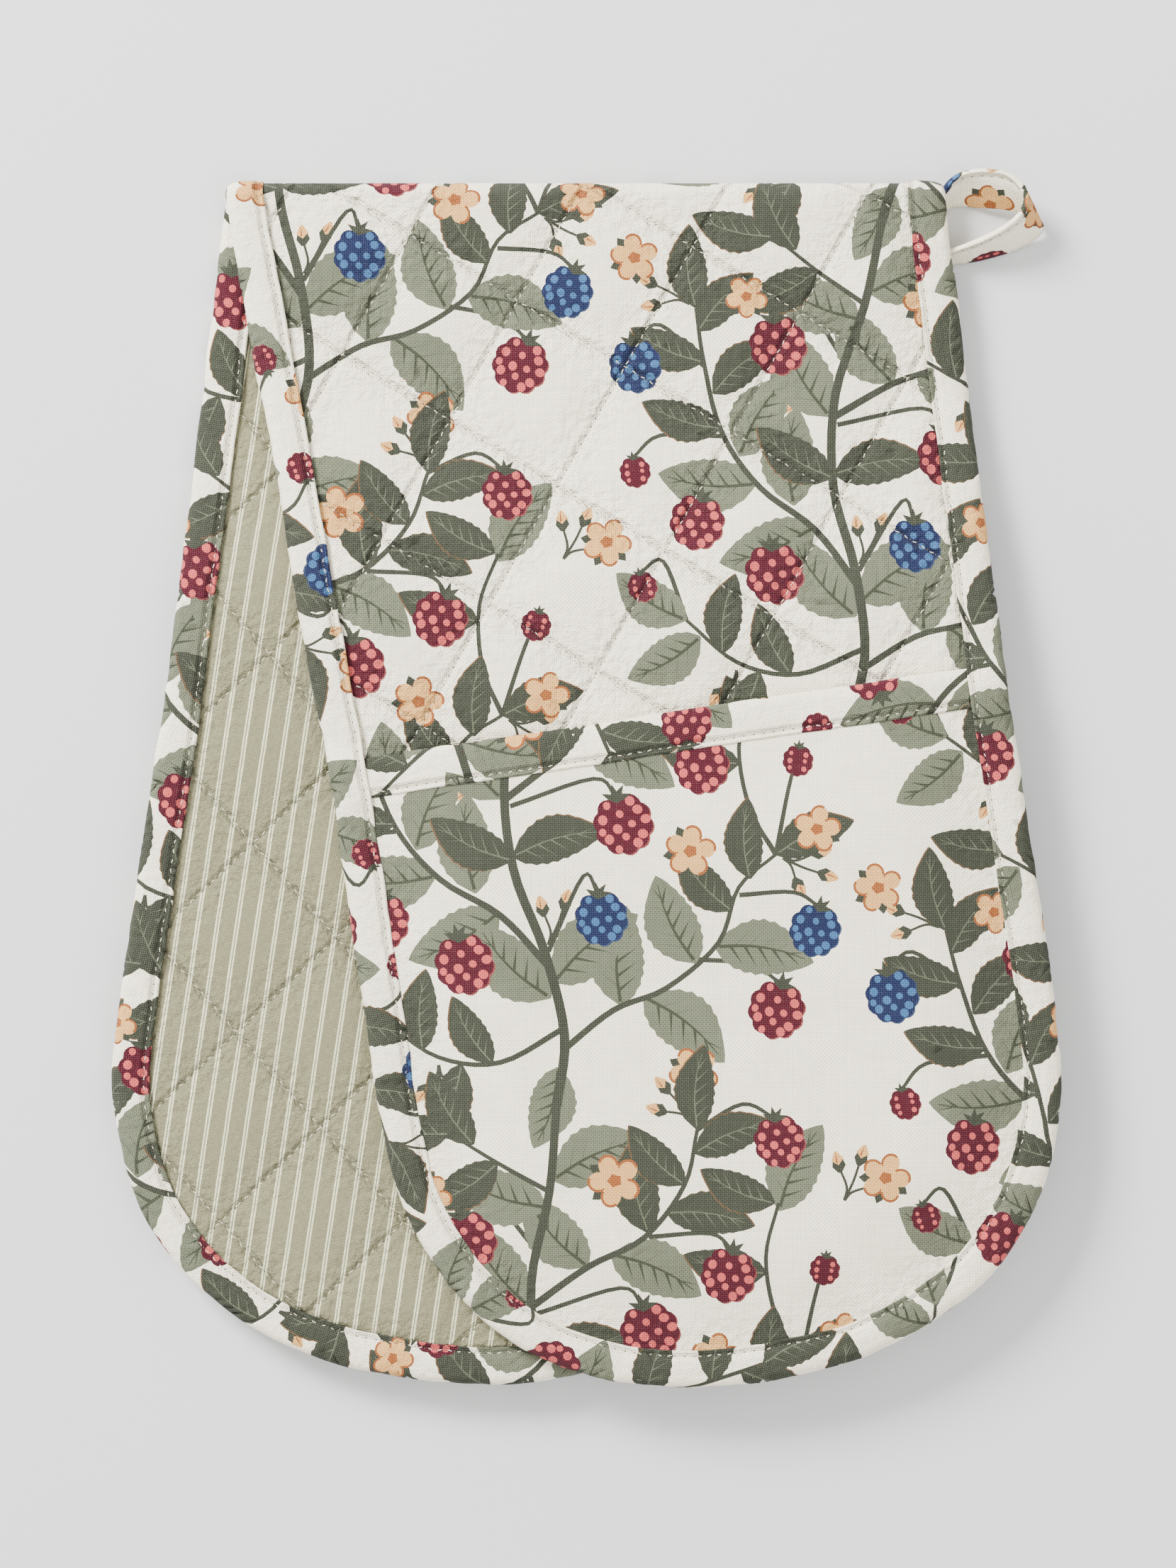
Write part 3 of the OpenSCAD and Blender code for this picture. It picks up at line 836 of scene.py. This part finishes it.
def add_piece(name, places, faces, material, uv=None, ink=None, pucker=None,
              seams=(FAR_FROM_SEAMS, FAR_FROM_SEAMS), thickness=0.0):
    """A piece from its places, with its cloth directions, its print, its closeness to seams and
    its distances to two families of rows of stitches. A sheet gets its thickness towards its
    back."""
    mesh = bpy.data.meshes.new(name)
    mesh.from_pydata(np.asarray(places).tolist(), [], [[int(i) for i in f] for f in faces])
    mesh.validate()
    corners = np.empty(len(mesh.loops), int)
    mesh.loops.foreach_get("vertex_index", corners)
    if uv is not None:
        layer = mesh.uv_layers.new(name="cloth")
        layer.data.foreach_set("uv", np.asarray(uv, float)[corners].ravel())
    if ink is not None:
        colours = np.array([opaque(*colour) for colour in INKS.values()])
        each = np.repeat(colours[ink], 3, axis=0)
        mesh.color_attributes.new("ink", "FLOAT_COLOR", "CORNER").data.foreach_set(
            "color", each.ravel())
    if pucker is not None:
        for label, values in (("pucker", pucker), ("seam_a", seams[0]), ("seam_b", seams[1])):
            values = np.broadcast_to(np.asarray(values, float), len(mesh.vertices))
            mesh.attributes.new(label, "FLOAT", "POINT").data.foreach_set(
                "value", np.ascontiguousarray(values))
    mesh.materials.append(material)
    piece = bpy.data.objects.new(name, mesh)
    bpy.context.scene.collection.objects.link(piece)
    if thickness:
        solid = piece.modifiers.new("thickness", "SOLIDIFY")
        solid.thickness = thickness * MM
        solid.offset = -1
        apply_modifiers(piece)
    piece.data.shade_smooth()
    return piece


def apply_modifiers(piece):
    depsgraph = bpy.context.evaluated_depsgraph_get()
    made = bpy.data.meshes.new_from_object(piece.evaluated_get(depsgraph))
    piece.modifiers.clear()
    piece.data = made


def near_seams(half, flat):
    """1 on a seam or a bound edge, fading over the next few millimetres."""
    a, b = across_seams(half, flat)
    gaps = [np.abs(k - np.round(k)) * pitch for k, pitch in zip((a, b), QUILT_PITCHES)]
    nearest = np.minimum(np.minimum(*gaps), np.abs(inset_of(flat) - TAPE))
    return 1.15 - ease(nearest / 13)


def quilt_rows(half, flat):
    """Distances across both families of quilting lines, in millimetres."""
    return [k * pitch for k, pitch in zip(across_seams(half, flat), QUILT_PITCHES)]


def tape_rows_at(flat, *rows):
    """Distances over a tape to its two rows of stitches."""
    return [flat[:, 1] - row for row in rows]


def near_edge(flat, reach=20):
    return 1.1 - ease((inset_of(flat) - TAPE) / reach)


def fold_over(piece, half, inner=False):
    """Bakes the piece's placing into its mesh. The bend round the fold is already in its places, and
    the bend's ends worked out here are not used.
    """
    if inner:
        start, end = (0, BEND_Y, PAD), (0, BEND_Y + 0.28, BEND_R)
    else:
        start, end = (0, BEND_Y, 0.3), (0, FOLD_Y - 0.2, BEND_R - 0.1)
    if half == FRONT:
        start, end = ((0, y, 2 * BEND_R - z) for _, y, z in (end, start))
        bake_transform(piece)
    else:
        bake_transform(piece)


# ---------------------------------------------------------------- the pads: cover, wadding, lining

PAD_EDGE = outline(TAPE - 1)
HIDDEN_PRINT = outline(TAPE + 4, start=MOUTH + 30)
cover_grid = grid_inside(PAD_EDGE, 2.6)
sparse = inside(cover_grid, outline(TAPE - 2, start=MOUTH + 24))
cover_grid = cover_grid[~sparse | (np.arange(len(cover_grid)) % 3 == 0)]
bend_rows = np.array([(x, w) for w in (0.9, 1.8, 2.8, 3.8, 4.8, 5.8)
                      for x in np.arange(-HALF_AT_FOLD + TAPE + 1, HALF_AT_FOLD - TAPE, 2.6)])
cover_grid = np.concatenate([cover_grid[cover_grid[:, 1] > ARC], bend_rows])
cover_cut = cut_cloth(PAD_EDGE, cover_grid, shift=(4, 6), turn=math.radians(4),
                      plain=HIDDEN_PRINT)


def add_cover(half):
    flat, faces, ink = cover_cut
    piece = add_piece(f"printed_cover_{HALVES[half]}", lay(half, flat, cover_depth(half, flat)),
                      faces[:, ::-1], CANVAS, flat, ink,
                      near_seams(half, flat), quilt_rows(half, flat), SHEET_T)
    fold_over(piece, half)
    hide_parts(f"cover_{HALVES[half]}")
    return piece


def plain_sheet(edge, spacing):
    """Flat points and triangles of plain cloth inside an edge."""
    points = [Vector(p) for p in (*edge, *grid_inside(edge, spacing))]
    lines = [(i, (i + 1) % len(edge)) for i in range(len(edge))]
    places, _, faces, *_ = delaunay_2d_cdt(points, lines, [], 1, 1e-3)
    return np.array([tuple(p) for p in places]), np.array([list(f) for f in faces])


lining_flat, lining_faces = plain_sheet(PAD_EDGE, 2.3)


def add_lining(half):
    """The lining's cloth runs with the strip, so its stripes do too."""
    flat = lining_flat
    uv = np.stack(along_strip(flat), axis=1)
    depth = lining_depth(half, flat)
    piece = add_piece(f"striped_lining_{HALVES[half]}", lay(half, flat, depth),
                      lining_faces, LINING, uv,
                      None, near_seams(half, flat), quilt_rows(half, flat), LINING_T)
    fold_over(piece, half, inner=True)
    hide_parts(f"lining_{HALVES[half]}")
    return piece


wadding_flat, wadding_faces = plain_sheet(outline(1.4, 3.0), 4.5)


def add_wadding(half):
    """The wadding between cover and lining, thin at the seams and at the binding."""
    flat = wadding_flat
    upper = cover_depth(half, flat) + SHEET_T + 0.12
    lower = lining_depth(half, flat) - SHEET_T - 0.08
    bound = ease((10.5 - inset_of(flat)) / 3)
    upper = upper + bound * (1.15 - upper)
    lower = lower + bound * (2.9 - lower)
    lower = np.maximum(lower, upper + 0.4)
    n = len(flat)
    rim = boundary(wadding_faces)
    sides = [(a, b, n + b) for a, b in rim] + [(a, n + b, n + a) for a, b in rim]
    faces = np.concatenate([wadding_faces[:, ::-1], wadding_faces + n,
                            np.array(sides)])
    piece = add_piece(f"wadding_felt_{HALVES[half]}",
                      np.concatenate([lay(half, flat, upper), lay(half, flat, lower)]),
                      faces, WADDING)
    fold_over(piece, half)
    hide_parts(f"wadding_{HALVES[half]}")
    return piece


def boundary(faces):
    """Directed edges that belong to one face only."""
    edges = {}
    for a, b, c in faces.tolist():
        for edge in ((a, b), (b, c), (c, a)):
            edges[edge] = edges.get(edge, 0) + 1
    return [e for e in edges if (e[1], e[0]) not in edges]


# ---------------------------------------------------------------- the pockets

PANEL_EDGE = outline(1.6, start=MOUTH + 2)
panel_cut = cut_cloth(PANEL_EDGE, grid_inside(PANEL_EDGE, 2.5), shift=(58, 40),
                      turn=math.radians(-3))
pocket_flat, pocket_faces = plain_sheet(outline(2.2, start=MOUTH + 3), 4.0)


def under_tape(flat, depth):
    """Squeezes a pocket sheet's rim down into the binding."""
    squeeze = ease((8.5 - inset_of(flat)) / 3)
    return depth + 0.35 * squeeze


def add_pocket_panel(half):
    flat, faces, ink = panel_cut
    depth = under_tape(flat, pocket_depth(flat))
    piece = add_piece(f"printed_pocket_{HALVES[half]}", lay(half, flat, depth), faces[:, ::-1],
                      CANVAS, flat, ink, 0.8 * near_edge(flat, 16),
                      thickness=SHEET_T)
    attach(piece, f"{HALVES[half]}_half")
    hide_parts(f"pocket_panel_{HALVES[half]}")
    return piece


def add_pocket_lining(half):
    """The pocket's own lining lies against the panel, with its striped face to the hand."""
    flat = pocket_flat
    depth = under_tape(flat, pocket_depth(flat)) + SHEET_T + 0.5
    piece = add_piece(f"striped_pocket_lining_{HALVES[half]}", lay(half, flat, depth),
                      pocket_faces, LINING,
                      np.stack(along_strip(flat), axis=1), None, near_edge(flat),
                      thickness=POCKET_T)
    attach(piece, f"{HALVES[half]}_half")
    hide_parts(f"pocket_lining_{HALVES[half]}")
    return piece


# ---------------------------------------------------------------- tape, folded over edges

# Distance over the tape, distance in from the edge, and depth under the printed face.
EDGE_TAPE = np.array((
    (0.0, 10.15, -0.20), (0.5, 9.85, -0.58), (1.1, 9.2, -0.58), (1.5, 8.7, -0.40),
    (2.0, 8.2, -0.58), (3.2, 7.0, -0.72), (5.6, 4.7, -0.66), (7.6, 2.7, -0.42),
    (9.0, 1.35, 0.05), (10.1, 0.5, 0.75), (11.2, 0.05, 1.75), (12.0, 0.0, 2.4),
    (13.0, 0.2, 3.2), (14.1, 0.95, 3.95), (15.4, 2.1, 4.35), (17.6, 4.3, 4.52),
    (20.0, 6.7, 4.58), (21.4, 8.2, 4.50), (21.9, 8.7, 4.34), (22.3, 9.2, 4.48),
    (22.9, 9.8, 4.46), (23.4, 10.15, 4.15)))
STITCH_AT = 1.5
STITCH_UNDER = 21.9
EDGE_PATH = outline(0, 1.0)
EDGE_RUN = run_of(EDGE_PATH)


def inward():
    """The direction into the cloth at each place of the edge path."""
    way = np.gradient(EDGE_PATH, axis=0)
    smooth = np.array([np.convolve(np.pad(way[:, k], 6, "edge"), np.ones(13) / 13, "valid")
                       for k in (0, 1)]).T
    smooth /= np.hypot(*smooth.T)[:, None]
    return np.stack([smooth[:, 1], -smooth[:, 0]], axis=1)


EDGE_IN = inward()


def edge_tape_place(half, tape, lift=0.0):
    """World places on the edge tape, at distances along it and over it."""
    s, t = tape[:, 0], tape[:, 1]
    inset, depth = places_at(t, EDGE_TAPE[:, 0], EDGE_TAPE[:, 1:]).T
    on_edge = places_at(s, EDGE_RUN, EDGE_PATH)
    way_in = places_at(s, EDGE_RUN, EDGE_IN)
    waviness = soft_noise(s, t * 0.15, 9, 21 + half) + 0.7 * soft_noise(s, t * 0.3, 4.2, 31 + half)
    nose = np.exp(-((t - 11.5) / 5) ** 2)
    inset = inset + 0.22 * waviness + 0.35 * nose * soft_noise(s, t * 0, 17, 41 + half)
    flat = on_edge + way_in * inset[:, None]
    v = along_strip(flat)[1]
    pocket = ease((v - MOUTH + 4) / 7) * 1.2
    mouth = 0.75 * ease((v - MOUTH + 5) / 5) * ease((MOUTH + MOUTH_TAPE + 5 - v) / 5)
    lining_side = ease((t - 11.5) / 3)
    puckers = 0.13 * waviness + 0.10 * soft_noise(s, t * 0.2, 2.6, 51 + half)
    if half == FRONT:
        depth = depth + lining_side * (np.minimum(depth, 3.86) - depth)
        depth = depth - (1 - lining_side) * (pocket + mouth + puckers)
    else:
        flush = np.maximum(depth, FLOOR_GAP + 0.03)
        on_floor = (1 - lining_side) * (1 - ease((v - MOUTH + 30) / 26))
        depth = depth + on_floor * (flush - depth)
        depth = depth - (1 - lining_side) * (pocket + mouth) + lining_side * 0.6 * puckers
    at_fold = ease(flat[:, 1] / 14)
    depth = np.where(lining_side > 0.5, np.minimum(depth, PAD + 0.02 + at_fold * 0.6), depth)
    side = 2 * lining_side - 1
    return lay(half, flat, depth + lift * side)


def tape_edge_and_fill(along, over):
    """The closed edge of a flat tape and the points inside it, in rows and columns."""
    edge = np.concatenate([[(a, over[0]) for a in along], [(along[-1], b) for b in over[1:-1]],
                           [(a, over[-1]) for a in along[::-1]],
                           [(along[0], b) for b in over[-2:0:-1]]])
    return edge, np.array([(a, b) for a in along[1:-1] for b in over[1:-1]])


EDGE_TAPE_LONG, EDGE_TAPE_WIDE = EDGE_RUN[-1], EDGE_TAPE[-1][0]
tape_s = np.linspace(0, EDGE_TAPE_LONG, int(EDGE_TAPE_LONG / 1.9))
tape_cut = cut_cloth(*tape_edge_and_fill(tape_s, EDGE_TAPE[:, 0]), shift=(20, -9),
                     turn=math.radians(88))


def add_edge_binding(half):
    flat, faces, ink = tape_cut
    piece = add_piece(f"edge_tape_{HALVES[half]}", edge_tape_place(half, flat), faces[:, ::-1],
                      CANVAS, flat, ink, 0.5,
                      tape_rows_at(flat, STITCH_AT, STITCH_UNDER), SHEET_T)
    fold_over(piece, half)
    at_fold = ["edge_binding_fold_left", "edge_binding_fold_right"] if half == FRONT else []
    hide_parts(f"edge_binding_{HALVES[half]}", *at_fold)
    return piece


# Distance over the mouth's tape, distance along the strip, and height over the panel's face.
MOUTH_ROWS = np.array((
    (0.0, 10.6, 0.12), (0.5, 10.25, 0.50), (1.1, 9.6, 0.50), (1.5, 9.2, 0.36),
    (2.0, 8.7, 0.52), (3.2, 7.5, 0.62), (5.6, 5.1, 0.60), (8.0, 2.7, 0.45),
    (9.6, 1.15, 0.10), (10.5, 0.35, -0.35), (11.1, 0.0, -0.75), (11.8, 0.25, -1.15),
    (12.9, 1.2, -1.50), (15.0, 3.3, -1.62), (18.5, 6.8, -1.62), (22.0, 10.3, -1.55)))
MOUTH_REACH = HALF_WIDE + 0.2 - TAPE + 0.9


def mouth_tape_place(half, tape, lift=0.0):
    """World places on the mouth's tape, at distances across the strip and over the tape."""
    u, t = tape[:, 0], tape[:, 1]
    inset, over = places_at(t, MOUTH_ROWS[:, 0], MOUTH_ROWS[:, 1:]).T
    sag = 0.25 * soft_noise(u, u * 0, 16, 61) + 0.1 * soft_noise(u, u * 0, 5, 63)
    over = over + 0.08 * soft_noise(u, t, 4, 65)
    flat = from_strip(u, MOUTH + sag + inset)
    return lay(half, flat, pocket_depth(flat) - over - lift * np.sign(over + 0.7))


mouth_u = np.linspace(-MOUTH_REACH, MOUTH_REACH, 86)
mouth_cut = cut_cloth(*tape_edge_and_fill(mouth_u, MOUTH_ROWS[:, 0]), shift=(22, 60),
                      turn=math.radians(2))


def add_mouth_binding(half):
    flat, faces, ink = mouth_cut
    piece = add_piece(f"mouth_tape_{HALVES[half]}", mouth_tape_place(half, flat), faces, CANVAS,
                      flat, ink, 0.45,
                      tape_rows_at(flat, STITCH_AT, STITCH_AT), POCKET_T)
    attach(piece, f"{HALVES[half]}_half")
    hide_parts(f"mouth_binding_{HALVES[half]}")
    return piece


# ---------------------------------------------------------------- stitches

STITCH_POINTS = 6
ROUND = ((1, 0), (0, 1), (-1, 0), (0, -1))
HOLE_LONG, HOLE_WIDE = 0.30, 0.17
THREAD_R = 0.13


def add_stitches(name, rows, body, replaced):
    """Rows of stitches. Each row is its places on the cloth and the places 1 mm over them.
    Between two stitches the thread has sunk into a needle hole, drawn as a small blob that takes
    painted shadow."""
    places, faces, sunk = [], [], []
    for low, high in rows:
        run = run_of(low) / MM
        count = int(run[-1] / STITCH_PITCH)
        if count < 1:
            continue
        at = np.arange(count * STITCH_POINTS) * STITCH_PITCH / STITCH_POINTS
        on, up = places_at(at, run, low), places_at(at, run, high - low)
        up /= np.linalg.norm(up, axis=1)[:, None]
        along = np.gradient(on, axis=0)
        along /= np.maximum(np.linalg.norm(along, axis=1), 1e-12)[:, None]
        across = np.cross(along, up)
        across /= np.maximum(np.linalg.norm(across, axis=1), 1e-12)[:, None]
        for k in range(count):
            i = k * STITCH_POINTS
            slant = 0.10 * (1 if k % 2 else -1) * MM
            base = len(places)
            places.append(on[i] - up[i] * 0.15 * MM)
            for j, (size, rise) in enumerate(((0.85, 0.06), (1.0, 0.12), (0.85, 0.06)), start=1):
                middle = on[i + j] + up[i + j] * rise * MM + across[i + j] * slant * (j - 2)
                for a, b in ROUND:
                    places.append(middle + (across[i + j] * a + up[i + j] * b * 0.7)
                                  * THREAD_R * size * MM)
            places.append(on[i + 4] - up[i + 4] * 0.15 * MM)
            for a in range(4):
                b = (a + 1) % 4
                faces.append((base, base + 1 + a, base + 1 + b))
                for ring_start in (1, 5):
                    first, second = base + ring_start, base + ring_start + 4
                    faces.append((first + b, first + a, second + a, second + b))
                faces.append((base + 9 + b, base + 9 + a, base + 13))
            # A small blob in each needle hole, marked 1 in sunk so that the thread paints it nearly
            # black: painted shadow of the hole.
            base, hole = len(places), on[i + 5] + up[i + 5] * 0.12 * MM
            places += [hole + across[i + 5] * HOLE_WIDE * MM, hole + along[i + 5] * HOLE_LONG * MM,
                       hole - across[i + 5] * HOLE_WIDE * MM, hole - along[i + 5] * HOLE_LONG * MM,
                       hole + up[i + 5] * 0.08 * MM, hole - up[i + 5] * 0.30 * MM]
            for a in range(4):
                b = (a + 1) % 4
                faces += [(base + a, base + b, base + 4), (base + b, base + a, base + 5)]
            sunk += [0.0] * 14 + [1.0] * 6
    piece = add_piece(name, places, faces, THREAD)
    piece.data.attributes.new("sunk", "FLOAT", "POINT").data.foreach_set("value", sunk)
    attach(piece, body)
    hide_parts(replaced)


def tape_rows(place, along, *rows):
    """Rows of stitches on a tape, as places on it and 1 mm over it."""
    lines = [np.stack([along, np.full_like(along, over)], axis=1) for over in rows]
    return [(place(line), place(line, lift=1.0)) for line in lines]


def quilt_lines(half, keep):
    """The quilting lines inside the binding, as flat lines, in the stretches to keep."""
    lines = []
    for angle, pitch in zip(QUILT_ANGLES, QUILT_PITCHES):
        for number in range(-11, 12):
            along = np.arange(-420, 420, 1.3)
            u = half * (along * math.cos(angle) - number * pitch * math.sin(angle))
            v = -(along * math.sin(angle) + number * pitch * math.cos(angle))
            line = from_strip(u, v)
            near = (line[:, 1] > ARC) & (line[:, 1] < HALF_LENGTH + 40)
            good = np.zeros(len(line), bool)
            good[near] = keep(line[near])
            for part in np.split(np.arange(len(line)), np.flatnonzero(np.diff(good)) + 1):
                if good[part[0]] and len(part) > 4:
                    lines.append(line[part])
    return lines


QUILT_EDGE = outline(TAPE + 0.8)


def add_quilting(half):
    name = HALVES[half]

    def open_cover(line):
        return inside(line, QUILT_EDGE) & (along_strip(line)[1] < MOUTH + 16)

    def all_over(line):
        return inside(line, QUILT_EDGE)

    up = np.array([0, 0, half * MM])
    off_floor = np.array([0, 0, 0.3 * MM if half == BACK else 0])
    rows = []
    for line in quilt_lines(half, open_cover):
        low = lay(half, line, cover_depth(half, line) - 0.02) + off_floor
        rows.append((low, low + up))
    for line in quilt_lines(half, all_over):
        low = lay(half, line, lining_depth(half, line) + 0.02)
        rows.append((low, low - up))
    add_stitches(f"quilting_stitches_{name}", rows, f"{name}_half", f"quilting_thread_{name}")


def add_seam_stitches(half):
    name = HALVES[half]
    s = np.arange(14, EDGE_TAPE_LONG - 14, 0.8)
    rows = tape_rows(partial(edge_tape_place, half), s, STITCH_AT, STITCH_UNDER)
    add_stitches(f"edge_stitches_{name}", rows, f"{name}_half", f"edge_stitching_{name}")
    u = np.arange(1 - MOUTH_REACH, MOUTH_REACH - 1, 0.8)
    rows = tape_rows(partial(mouth_tape_place, half), u, STITCH_AT)
    add_stitches(f"mouth_stitches_{name}", rows, f"{name}_half", f"mouth_stitching_{name}")


# ---------------------------------------------------------------- the hanging loop

LOOP_TAPE = 11.6
LOOP_THICK = 1.5
# The upper rim, and how far the lower rim stands off it, as chosen places along the loop.
LOOP_RIM = ((92.6, 3.4, 4.8), (97.0, 8.4, 7.8), (104.0, 9.8, 9.8), (111.0, 8.4, 10.6),
            (115.0, 3.6, 10.9), (113.8, -1.4, 10.8), (109.2, -5.4, 10.0), (102.8, -8.4, 7.6),
            (96.2, -10.6, 5.4), (91.4, -11.6, 4.4))
LOOP_FOOT = ((0.4, -3.4), (0.8, -6.2), (1.6, -8.2), (2.6, -8.0), (4.6, -6.2), (5.6, -4.6),
             (4.4, -3.8), (1.8, -3.4), (0.8, -2.6), (0.4, -2.2))


def loop_frames():
    """Along the loop: places on the upper rim and on the lower rim."""
    upper = np.array(smooth_curve(LOOP_RIM, 8))
    offset = np.array(smooth_curve(LOOP_FOOT, 8))
    lower = upper.copy()
    lower[:, :2] += offset
    drop = np.sqrt(np.maximum(LOOP_TAPE ** 2 - (offset ** 2).sum(axis=1), 1))
    lower[:, 2] = np.maximum(upper[:, 2] - drop, 0.35)
    return evenly(np.concatenate([upper, lower], axis=1), 1.3)


LOOP = loop_frames()
LOOP_RUN = run_of(LOOP[:, :3])
LOOP_WIDE = 2 * LOOP_TAPE + 2.4
LOOP_ROWS = (LOOP_TAPE - 1.3, LOOP_TAPE + 3.7)


def loop_place(tape, lift=0.0):
    """World places on the loop's tape, which is folded along its upper rim."""
    s, t = tape[:, 0], tape[:, 1]
    upper, lower = np.split(places_at(s, LOOP_RUN, LOOP), 2, axis=1)
    along = (places_at(s + 1, LOOP_RUN, LOOP) - places_at(s - 1, LOOP_RUN, LOOP))[:, :3]
    out = np.cross(lower - upper, along)
    out /= np.linalg.norm(out, axis=1)[:, None]
    out *= np.where(out[:, :1] * (upper[:, :1] - 102) + out[:, 1:2] * (upper[:, 1:2] + 6) < 0, -1, 1)
    turn = np.clip((t - LOOP_TAPE) / 2.4, 0, 1) * math.pi
    down = np.where(t < LOOP_TAPE + 1.2, LOOP_TAPE - t, t - LOOP_TAPE - 2.4)
    down = np.clip(down, 0, LOOP_TAPE) / LOOP_TAPE
    off = np.cos(turn) * (LOOP_THICK / 2 + 0.10 * soft_noise(s, t, 6, 71))
    stitched = np.exp(-((down * LOOP_TAPE - 1.3) / 0.5) ** 2) * 0.22
    off = off - np.sign(off) * stitched + lift * np.cos(turn)
    place = upper + (lower - upper) * down[:, None] + out * off[:, None]
    place[:, 2] += np.sin(turn) * 0.5
    place[:, 2] = np.maximum(place[:, 2], 0.1)
    return place * MM


loop_s = np.linspace(0, LOOP_RUN[-1], 52)
loop_t = np.concatenate([np.linspace(0, LOOP_TAPE - 1.9, 6), LOOP_TAPE - np.array([1.3, 0.7]),
                         LOOP_TAPE + np.linspace(0, 2.4, 7),
                         LOOP_TAPE + 2.4 + np.array([0.7, 1.3]),
                         np.linspace(LOOP_TAPE + 4.3, LOOP_WIDE, 6)])


def add_loop():
    flat, faces, ink = cut_cloth(*tape_edge_and_fill(loop_s, loop_t), shift=(30, 12),
                                 turn=math.radians(80))
    piece = add_piece("hanging_loop_tape", loop_place(flat), faces[:, ::-1], CANVAS,
                      flat, ink, 0.3, tape_rows_at(flat, *LOOP_ROWS), LINING_T)
    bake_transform(piece)
    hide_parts("hanging_loop", "loop_ends")
    s = np.arange(7, LOOP_RUN[-1] - 7, 0.8)
    add_stitches("loop_stitches", tape_rows(loop_place, s, *LOOP_ROWS), "loop", "loop_stitching")
    return piece


# ---------------------------------------------------------------- putting it together


def build():
    makers = (add_cover, add_lining, add_wadding, add_pocket_panel, add_pocket_lining,
              add_edge_binding, add_mouth_binding)
    pieces = {}
    for half in (BACK, FRONT):
        pieces[half] = [make(half) for make in makers]
        add_quilting(half)
        add_seam_stitches(half)
    for piece, node in zip(pieces[FRONT], ("cover_fold", "lining_fold", "wadding_fold")):
        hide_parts(node)
    loop = add_loop()


build()


# ---------------------------------------------------------------- camera, floor and light

VIEW_CENTRE = (0.0007, -0.1507)
VIEW_HEIGHT = 0.978


def add_camera():
    data = bpy.data.cameras.new("camera")
    data.sensor_fit = "VERTICAL"
    data.sensor_height = 36
    data.lens = 85
    camera = bpy.data.objects.new("camera", data)
    camera.location = (*VIEW_CENTRE, VIEW_HEIGHT)
    bpy.context.scene.collection.objects.link(camera)
    bpy.context.scene.camera = camera


FLOOR_REACH = 3.0


def add_floor():
    nodes = Nodes("pale_floor")
    nodes.surface("Base Color", opaque(0.575, 0.575, 0.575))
    nodes.surface("Roughness", 0.9)
    mesh = bpy.data.meshes.new("floor")
    sheet = bmesh.new()
    bmesh.ops.create_grid(sheet, x_segments=1, y_segments=1, size=FLOOR_REACH)
    sheet.to_mesh(mesh)
    sheet.free()
    mesh.materials.append(nodes.material)
    floor = bpy.data.objects.new("floor", mesh)
    bpy.context.scene.collection.objects.link(floor)


def add_light(name, place, size, power):
    data = bpy.data.lights.new(name, "AREA")
    data.size = size
    data.energy = power
    light = bpy.data.objects.new(name, data)
    light.location = place
    aim = Vector((VIEW_CENTRE[0], VIEW_CENTRE[1], 0)) - light.location
    light.rotation_euler = aim.to_track_quat("-Z", "Y").to_euler()
    bpy.context.scene.collection.objects.link(light)


def add_sky(strength):
    world = bpy.data.worlds.new("sky")
    world.use_nodes = True
    world.node_tree.nodes["Background"].inputs[0].default_value = (1, 1, 1, 1)
    world.node_tree.nodes["Background"].inputs[1].default_value = strength
    bpy.context.scene.world = world


add_camera()
add_floor()
add_light("key", (-1.25, 1.15, 1.15), 0.7, 162)
add_light("fill", (1.1, -0.9, 1.6), 1.4, 23)
add_sky(1.52)
